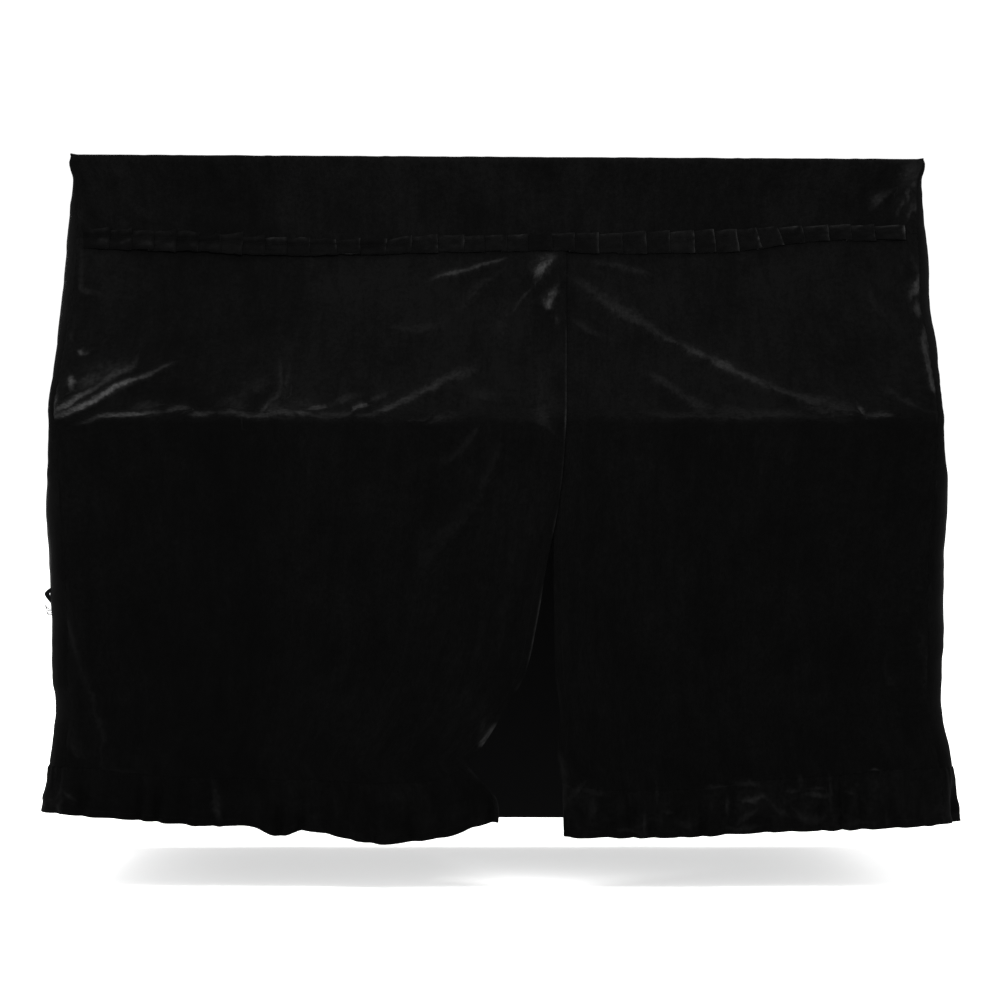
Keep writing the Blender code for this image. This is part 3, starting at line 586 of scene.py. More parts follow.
def painted_light_and_tone(x, drop):
    """Tone of the front's pile, with painted light and shade, painted sheen at the corners and random
    blotches.
    """
    lower = ease(KEYBOARD_DROP, KEYBOARD_DROP + 0.02, drop)
    # drawn is painted shade: below the keyboard's edge the plumb panels are half as light as the slope, as if
    # lit from above.
    drawn = 1 - 0.50 * ease(KEYBOARD_DROP - 0.002, KEYBOARD_DROP + 0.014, drop)
    on_slope = ease(0.17, 0.19, drop) * (1 - lower)
    # Lighter stretches over the slope.
    lighter_on_slope = 0.12 * ease(-0.340, -0.322, x) * (1 - ease(0.02, 0.08, x)) * on_slope
    lighter_on_slope = lighter_on_slope + 0.09 * ease(0.10, 0.20, x) * (1 - ease(0.46, 0.58, x)) * on_slope
    # Darker over part of the left slope, with a painted shadow beside the brightest fold at the keyboard's
    # left end.
    darker_left_and_fold_shadow = (0.18 - 0.09 * lower) * ease(-0.67, -0.61, x) * (1 - ease(-0.42, -0.345, x))
    darker_left_and_fold_shadow = darker_left_and_fold_shadow + 0.20 * bump(x, -0.565, 0.045) * bump(drop, 0.415, 0.018)
    by_slit = 0.13 * bump(x, 0.05, 0.13) * (1 - ease(0.50, 0.95, drop))
    # Painted sheen on the rounded corners below the keyboard's edge.
    painted_corner_sheen = 0.10 * ease(0.690, 0.735, np.abs(x))
    blotches = 0.10 * drawn * crumple(x, drop, 0.075, 14) + 0.06 * crumple(x, drop, 0.025, 15) * drawn
    # pressed is a painted shadow on the panels just below the frill.
    reach = 0.006 + 0.006 * ease(-0.68, -0.55, x) * (1 - ease(-0.34, -0.30, x))
    reach = reach + 0.003 * crumple(x, 0 * x, 0.03, 19)
    under_frill = (drop - read_off(FRILL_LINE, 2, x)) / reach
    pressed = 0.20 * bump(under_frill, 0, 1) * (under_frill > -1) * (np.abs(x) < 0.724)
    return 0.64 * drawn + lighter_on_slope - darker_left_and_fold_shadow + (by_slit + painted_corner_sheen) * lower + blotches - pressed


def fold(route, width, rise, ends=(0.12, 0.70), steep=0.7):
    """A fold along a route of (x, drop), in millimetres, as its width and its rise are.

    It has risen by the first share of its route in ends, and sinks again from the second, unless
    that is 1. steep is the width of its lower side over that of its upper side.
    """
    return np.array(route) / 1000, width / 1000, rise / 1000, ends, steep


BAND_FOLDS = [
    fold([(715, 30), (700, 55), (684, 75), (664, 98)], 10, 3.5),
    fold([(752, 38), (744, 66), (736, 92), (730, 112)], 9, 2.8),
    fold([(735, 20), (728, 40), (716, 60), (700, 82)], 8, 2),
    fold([(-748, 60), (-742, 85), (-734, 112)], 10, 1.8),
]
# Painted highlights on the crests of the band's folds, in four groups.
BAND_CRESTS = (
    [
        [(743, 0, 6.9, 26), (740, 14, 10.3, 71), (738, 28, 11, 98), (738, 43, 8.6, 58)],
        [(706, 55, 2.4, 16), (691, 65, 4.5, 58), (676, 76, 5.8, 113), (668, 87, 4.5, 58),
         (658, 93, 2.4, 8)],
        [(-736, 80, 2.7, 0), (-734, 99, 3.6, 36), (-731, 118, 2.7, 16)],
    ],
    [
        [(741, 34, 2, 30), (739, 45, 2.6, 150), (736, 56, 2.2, 50)],
        [(738, 77, 1.8, 20), (735, 86, 2.2, 160), (730, 98, 2.2, 190), (726, 109, 1.6, 30)],
        [(-669, 61, 4.5, 4), (-646, 80, 5.8, 12), (-612, 103, 5.8, 16), (-598, 113, 3.6, 0)],
    ],
    [
        [(731, 50, 2, 30), (730, 60, 2.6, 150), (729, 70, 2.6, 150), (728, 79, 1.8, 30)],
        [(712, 89, 1.8, 20), (709, 98, 2.2, 90), (706, 105, 1.8, 20)],
    ],
    [
        [(721, 73, 1.8, 30), (719, 82, 2.2, 130), (716, 90, 1.8, 30)],
    ],
)


def frill_seam(x):
    """The seam between band and front panels, which the frill's middle covers."""
    return (read_off(FRILL_LINE, 1, x) + read_off(FRILL_LINE, 2, x)) / 2


def between_corners(across, arc):
    """Place between the corners, from -1 to 1, and how far past them on their arcs, from 0 to 1."""
    place = (across - arc) / (1 - 2 * arc) * 2 - 1
    return place, np.maximum(np.abs(place) - 1, 0) / (2 * arc / (1 - 2 * arc))


def hang_band(across, fall):
    place, past = between_corners(across, BAND_ARC)
    hand = np.where(place < 0, LEFT, RIGHT)
    station = np.minimum(np.abs(place), 1)
    x = hand * station * straight_front(hand, fall * BAND_FOOT_DROP)
    head, foot = LID_CLOTH_FALL * x - CORNER_LAP, frill_seam(x) + SEAM_LAP / 2
    drop = head + (foot - head) * fall
    station = station + past * (CORNER_SEAM - 1 + half_corner_lap(drop))
    distance = from_corner_seam(hand, station, drop)
    height = fold_field(BAND_FOLDS, x, drop) * (1 - ease(0.095, 0.118, drop)) * ease(0, 0.012, distance)
    head_dip = -BAND_HEAD_DIP * np.exp(-np.maximum(drop, 0) / EDGE_REACH)
    head_roll = head_dip + BAND_HEAD_ROLL * bump(drop, 0.007, 0.004)
    rumple = 0.0006 * crumple(x, drop, 0.045, 22) * ease(0, 0.02, drop)
    stand_off = height + head_roll + seam_pucker(distance, drop, 21) + rumple + dents(hand, station, drop)
    pile = gleam_field(BAND_CRESTS, x, drop)
    # A painted highlight at the right lobe, and another along the band's head.
    at_lobe = ease(0.690, 0.752, x) * (1 - ease(0.060, 0.125, drop)) * (1 + 0.5 * crumple(x, drop, 0.02, 26))
    pile["painted_highlight_and_brushing"] = 0.04 * np.exp(-np.abs(drop - head) / EDGE_REACH) + 0.032 * at_lobe
    pile["painted_light_and_tone"] = painted_light_and_tone(x, drop) - 0.04 + 0.34 * at_lobe
    return on_wall(hand, station, drop, stand_off), pile


band_cloth = hang_cloth("band_cloth", 400, 44, hang_band, CLOTH, (1.53, BAND_FOOT_DROP), velvet)
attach(band_cloth, "root")
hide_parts("front_band")

# ------------------------------------------------------------------ pleated frill
# A strip of velvet 35 mm tall, pressed in knife pleats 41 mm apart and sewn flat over the seam
# between band and front. Every pleat folds back under itself, and its free edge faces right.
FRILL_CLOTH, FRILL_HEIGHT, PLEAT_FLAT = 0.0006, 0.035, 0.0019
FRILL_START, PLEAT_PITCH = -0.716, 0.0412
LAP_HEIGHT, LAP_START, LAP_FULL = 0.0027, 0.020, 0.090
STITCH_LINE = 0.34
FRILL_TWIST = table([  # x, how far the upper and the lower edge stand out
    (-720, 1, 1.2),
    (-600, 1.8, 1.8),
    (-350, 2, 1.8),
    (-200, 1.4, 0.8),
    (0, 1, 0.4),
    (200, 0.6, 0.4),
    (500, 0.8, 0.3),
    (722, 0.6, 0.3),
])
# Each pleat's free edge, how far its foot leans to the right of its head, and how bright its painted
# highlight is at the upper and lower half of that edge, along the top of the strip and near its foot.
PLEAT_LINE = table([  # edge, lean, upper, lower, top, foot
    (-677, 1, 0, 0, 30, 120),
    (-638, 2, 0, 0, 40, 80),
    (-599, 0, 20, 0, 50, 80),
    (-560, 1, 0, 0, 10, 60),
    (-521, -1, 0, 40, 30, 50),
    (-482, 2, 100, 0, 10, 50),
    (-443, 0, 30, 0, 20, 30),
    (-404, 1, 0, 0, 20, 50),
    (-365, 0, 0, 0, 110, 20),
    (-326, 2, 100, 0, 60, 0),
    (-279, 4, 280, 20, 10, 0),
    (-237, 1, 160, 0, 30, 0),
    (-191, -1, 180, 20, 0, 0),
    (-147, 0, 120, 20, 90, 0),
    (-102, 2, 220, 100, 60, 0),
    (-55, -1, 200, 0, 50, 10),
    (-19, 1, 0, 0, 90, 0),
    (20, 0, 40, 20, 70, 10),
    (58, 0, 0, 0, 100, 0),
    (99, 2, 20, 20, 0, 20),
    (139, 0, 90, 60, 110, 10),
    (181, 1, 300, 180, 60, 20),
    (223, 1, 160, 0, 120, 10),
    (265, 1, 220, 50, 30, 10),
    (306, 0, 130, 80, 70, 0),
    (349, 1, 260, 220, 100, 0),
    (385, 2, 340, 150, 60, 50),
    (425, 4, 280, 280, 120, 20),
    (461, 9, 340, 340, 60, 20),
    (499, 11, 300, 260, 80, 0),
    (541, 4, 130, 80, 160, 60),
    (586, 1, 220, 170, 120, 40),
    (626, 0, 60, 50, 170, 30),
    (667, 1, 200, 140, 180, 10),
    (720, 1, 500, 120, 160, 30),
])
# One pleat seen from below: along the strip, out from the wall, and its painted highlight.
PLEAT_SECTION = table([  # along, out, painted highlight
    (-10, 1.9, 0),
    (-4, 1.8, 0),
    (0, 1.9, 0),
    (8, 2.3, 0),
    (16, 2.9, 0),
    (24, 3.5, 0),
    (31, 4, 20),
    (36, 4.4, 80),
    (39, 4.6, 400),
    (40.2, 4.6, 950),
    (40.8, 4.4, 1000),
    (41.2, 3.9, 1000),
    (41, 3.3, 900),
    (40.4, 2.8, 400),
    (39, 2.4, 0),
    (35, 2.1, 0),
    (32, 2, 0),
])

PLEATS, PLEAT_COLUMNS = len(PLEAT_LINE[0]), len(PLEAT_SECTION[0])
LAST_COLUMN = PLEATS * PLEAT_COLUMNS - 1

# Its third colour is that of the painted highlights and the brushed patches.
trim_velvet = dye_velvet(
    "black_velvet_trim", (0.0002,) * 3, (0.0018,) * 3, (0.026,) * 3, (0.0052, 0.0052, 0.0053)
)


def hang_frill(across, fall):
    number, part = np.divmod(np.round(across * LAST_COLUMN).astype(int), PLEAT_COLUMNS)
    along, out, highlight_strength = PLEAT_SECTION[:, part]
    edge, lean, upper, lower, top, foot = (np.append(0, row)[number + 1] for row in PLEAT_LINE)
    start = np.append(FRILL_START, PLEAT_LINE[0])[number]
    lean_before = np.append(0, PLEAT_LINE[1])[number]
    spin = np.random.default_rng(7)

    def each_pleat(low, high):
        return spin.uniform(low, high, PLEATS)[number]

    past_start = along / PLEAT_PITCH
    past = np.clip(past_start, 0, 1)
    x = start + (edge - start) * past_start + (lean_before * (1 - past) + lean * past) * (fall - 0.3)
    x = x + 0.0008 * crumple(number * 0.3, fall * FRILL_HEIGHT, 0.012, 6) * past
    to_left = 1 - ease(-0.34, 0.05, x)
    out = PLEAT_FLAT + (out - PLEAT_FLAT) * (1 - 0.30 * to_left)
    top_line, bottom = read_off(FRILL_LINE, 1, x), read_off(FRILL_LINE, 2, x)
    uneven_top = each_pleat(-0.0012, 0.0012) * (1 + to_left) + (0.0012 + 0.0022 * to_left) * (0.5 - past)
    uneven_top = uneven_top + (0.0006 + 0.0014 * to_left) * crumple(x, 0 * x, 0.010, 18)
    uneven_foot = each_pleat(-0.0018, 0.0014) + each_pleat(-0.0010, 0.0026) * (past - 0.4)
    drop = top_line + uneven_top * (1 - fall) + (bottom - top_line) * fall + uneven_foot * fall
    drop = drop + (0.0006 + 0.0007 * to_left) * crumple(x, fall, 0.009, 8) * (2 * fall - 1)
    hand = np.where(x < 0, LEFT, RIGHT)
    station = np.abs(x) / straight_front(hand, drop)
    twist = read_off(FRILL_TWIST, 1, x) * (1 - fall) ** 2 + read_off(FRILL_TWIST, 2, x) * fall**2
    on_lap = LAP_HEIGHT * ease(LAP_START, LAP_FULL, x) * (1 - ease(0.128, 0.170, x))
    pressed = 0.74 - 0.22 * fall + (0.08 + 0.34 * to_left) * fall * each_pleat(0.4, 1.6)
    stitched = bump(fall, STITCH_LINE, 0.10) * (0.0005 + 0.0009 * to_left)
    buckled = (0.0007 + 0.0007 * to_left) * crumple(x, fall * FRILL_HEIGHT, 0.011, 9) * ease(0.1, 0.5, past)
    flattest = 0.0010 + 0.5 * (out - PLEAT_FLAT)
    stand_off = on_lap + np.maximum(out * pressed + twist - stitched + buckled, flattest)

    patchy = 0.60 + 0.55 * crumple(x, fall * FRILL_HEIGHT, 0.006, 17)
    # tick, tips and foot_glow are painted highlights: on each pleat's free edge, along the top of the strip
    # and near its foot.
    tick = 1.35 * highlight_strength * (upper + (lower - upper) * ease(0.45, 0.75, fall)) * patchy
    lit_from, lit_to = each_pleat(-0.2, 0.15), each_pleat(0.90, 1.1)
    lit = ease(lit_from, lit_from + 0.15, past) * (1 - ease(lit_to - 0.15, lit_to, past))
    tips = 2.6 * top * lit * np.exp(-fall / (0.08 + 0.06 * to_left)) * patchy * (highlight_strength < 0.5)
    foot_from = each_pleat(0.25, 0.65)
    foot_glow = foot * ease(foot_from, foot_from + 0.12, past) * (1 - ease(0.88, 0.99, past)) * patchy
    foot_glow = foot_glow * bump(fall, each_pleat(0.58, 0.74), 0.15)
    highlight_paint = np.maximum.reduce([tick, tips, foot_glow])
    # shade is painted shade across the middle of the left pleats.
    middle, breadth = STITCH_LINE - 0.05 + each_pleat(-0.05, 0.05), 0.15 + 0.10 * ease(-0.33, -0.20, x)
    shade = (0.40 + each_pleat(-0.15, 0.06)) * to_left * bump(fall, middle, breadth)
    pile_tone = 0.54 + each_pleat(-0.16, 0.06) - shade + 0.14 * crumple(x, fall * FRILL_HEIGHT, 0.008, 16)
    # Painted shade along the foot of the strip.
    pile_tone = pile_tone - 0.28 * ease(0.80, 1.0, fall) * (0.5 + 0.5 * to_left)
    return on_wall(hand, station, drop, stand_off), dict(painted_highlight_and_brushing=highlight_paint, painted_light_and_tone=pile_tone.clip(0.1))


frill_cloth = hang_cloth(
    "frill_cloth", LAST_COLUMN, 24, hang_frill, FRILL_CLOTH, (2.14, FRILL_HEIGHT), trim_velvet
)
shown = np.arange(2, 10)
header = [
    seam_on(hang_frill, (pleat * PLEAT_COLUMNS + shown) / LAST_COLUMN, 0 * shown + STITCH_LINE)
    for pleat in range(PLEATS)
]
frill_stitches = sew("frill_stitches", header, black_thread)
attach(frill_stitches, "root")
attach(frill_cloth, "root")
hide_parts("pleated_frill")

# ------------------------------------------------------------------ front panels
# The two halves of the front, of the same velvet, drawn tight over the keyboard and plumb below it.
# The left one laps over the right one, and both have a 15 mm facing folded in at the slit.
FRONT_FOOT_DROP = 1.075
LEVEL_FROM, LEVEL_TO = 0.380, 0.750  # drops between which the threads run level
CLOSE_ROWS = (0.437, 0.473)  # drops of the close rows over the keyboard's edge
FACING, FACING_LIFT, CURL, KEYBOARD_CREASE = 0.015, 0.0006, 0.014, 0.0011
EDGE_CROWDING = 0.2
FRONT_ARC = 0.024  # share of a front cloth that lies on the corner's arc

# Seam at the head of the front flounces, and their hem.
HEM_LINE = table([  # x, seam, hem
    (-780, 1046, 1111),
    (-735, 1048, 1127),
    (-690, 1050, 1133),
    (-600, 1060, 1139),
    (-500, 1066, 1148),
    (-410, 1068, 1151),
    (-370, 1070, 1167),
    (-320, 1070, 1157),
    (-200, 1076, 1179),
    (-110, 1072, 1172),
    (-70, 1062, 1164),
    (-30, 1050, 1147),
    (10, 1046, 1140),
    (110, 1075, 1166),
    (200, 1088, 1169),
    (320, 1086, 1168),
    (440, 1072, 1161),
    (560, 1064, 1157),
    (680, 1052, 1151),
    (735, 1050, 1147),
    (780, 1048, 1131),
])

# Free edges of the two halves. The left one is drawn aside below a sitting player's knees.
SLIT = table([  # drop, left, right
    (150, 124, 100),
    (310, 122, 99),
    (480, 118, 98),
    (600, 107, 98),
    (700, 87, 98),
    (800, 70, 99),
    (890, 49, 101),
    (960, 10, 109),
    (1010, -22, 106),
    (1042, -46, 104),
    (1070, -24, 112),
    (1105, 2, 114),
    (1170, 0, 116),
])

# Painted highlight along the left half's free edge, where it catches the light.
EDGE_GLEAM = table([  # drop, painted highlight
    (150, 0),
    (295, 0),
    (315, 90),
    (400, 110),
    (440, 210),
    (468, 260),
    (480, 80),
    (575, 40),
    (600, 0),
    (625, 90),
    (640, 100),
    (660, 0),
    (735, 0),
    (750, 130),
    (780, 210),
    (840, 230),
    (870, 110),
    (885, 0),
    (1180, 0),
])

FRONT_FOLDS = [
    # Drag folds from the head of the slit to the right end of the keyboard.
    fold([(624, 453), (584, 449), (539, 436), (493, 423), (441, 402), (386, 373), (340, 349), (299, 328),
          (247, 297), (196, 264), (135, 214)], 15, 8, ends=(0.05, 0.62)),
    fold([(380, 444), (336, 433), (296, 412), (265, 387), (200, 334), (132, 288)], 14, 4.5,
         ends=(0.1, 0.6)),
    fold([(150, 184), (190, 193), (219, 200), (264, 210), (310, 216)], 14, 3.5, ends=(0.2, 0.6)),
    fold([(752, 468), (715, 450), (684, 428), (655, 404)], 11, 5),
    fold([(742, 430), (736, 385), (733, 350), (737, 292)], 10, 4, ends=(0.2, 0.7)),
    fold([(722, 318), (722, 285), (724, 255), (726, 225)], 9, 2.6, ends=(0.2, 0.7)),
    fold([(630, 240), (650, 268), (668, 300), (680, 330)], 12, 2, ends=(0.3, 0.6)),
    # The star of tight folds at the left end of the keyboard.
    fold([(-758, 460), (-728, 446), (-698, 431), (-646, 409), (-594, 390), (-552, 368), (-520, 346)], 13,
         8.5, ends=(0.02, 0.66)),
    fold([(-755, 455), (-733, 440), (-716, 426), (-673, 404), (-628, 371), (-600, 345)], 11, 5,
         ends=(0.02, 0.55)),
    fold([(-752, 448), (-722, 408), (-690, 380), (-640, 345), (-590, 315)], 17, 5, ends=(0.05, 0.45)),
    fold([(-746, 440), (-727, 412), (-722, 392), (-722, 372)], 8, 3.5, ends=(0.25, 0.75)),
    fold([(-752, 432), (-745, 412), (-742, 396)], 7, 2, ends=(0.2, 0.7)),
    fold([(-716, 318), (-706, 330), (-696, 336)], 7, 1.6, ends=(0.3, 0.6)),
    fold([(-702, 168), (-708, 200), (-708, 235), (-690, 240), (-672, 238)], 9, 1.4, ends=(0.2, 0.8)),
    # Soft folds in the left half, towards the keyboard's edge and the head of the slit.
    fold([(-400, 457), (-378, 433), (-366, 399), (-368, 349), (-366, 320)], 11, 3.2, ends=(0.05, 0.45)),
    fold([(-212, 456), (-147, 431), (-88, 399), (-34, 371), (0, 348)], 14, 5.5, ends=(0.05, 0.55)),
    fold([(95, 165), (55, 174), (22, 183), (-34, 201), (-90, 217), (-130, 226)], 11, 6.8, ends=(0.3, 0.78)),
    fold([(70, 190), (8, 214), (-51, 265), (-84, 299), (-127, 313), (-190, 306)], 18, 4.5,
         ends=(0.1, 0.75)),
    fold([(108, 168), (96, 184), (83, 203), (68, 228)], 10, 6, ends=(0.25, 0.75)),
    fold([(114, 214), (108, 232), (100, 250), (90, 272)], 10, 5.2, ends=(0.25, 0.75)),
    fold([(75, 228), (61, 241), (46, 256), (32, 272)], 9, 3, ends=(0.25, 0.75)),
    fold([(-560, 452), (-515, 436), (-470, 414), (-445, 400)], 18, 2.4, ends=(0.2, 0.6)),
    # Below the keyboard's edge.
    fold([(30, 478), (-12, 495), (-77, 532), (-137, 559), (-190, 575)], 16, 4.2, ends=(0.2, 0.6)),
    fold([(30, 490), (-1, 532), (-39, 608), (-77, 652), (-137, 711), (-180, 750)], 22, 8, ends=(0.2, 0.6)),
    fold([(50, 680), (21, 765), (4, 840), (-20, 960)], 22, 7, ends=(0.2, 0.6)),
    fold([(-742, 700), (-722, 786), (-700, 860), (-680, 930), (-655, 1040)], 20, 8, ends=(0.2, 0.6)),
    fold([(30, 930), (8, 968), (-10, 1000), (-34, 1030)], 11, 5, ends=(0.3, 0.7)),
    fold([(-480, 560), (-495, 720), (-500, 900), (-510, 1070)], 60, 7, steep=1, ends=(0.16, 0.9)),
    fold([(-250, 600), (-235, 760), (-220, 920), (-200, 1070)], 55, 7.5, steep=1, ends=(0.16, 0.9)),
    fold([(300, 560), (292, 740), (285, 900), (270, 1080)], 55, 6.5, steep=1, ends=(0.16, 0.9)),
    fold([(540, 540), (555, 720), (565, 900), (580, 1070)], 60, 7, steep=1, ends=(0.16, 0.9)),
]
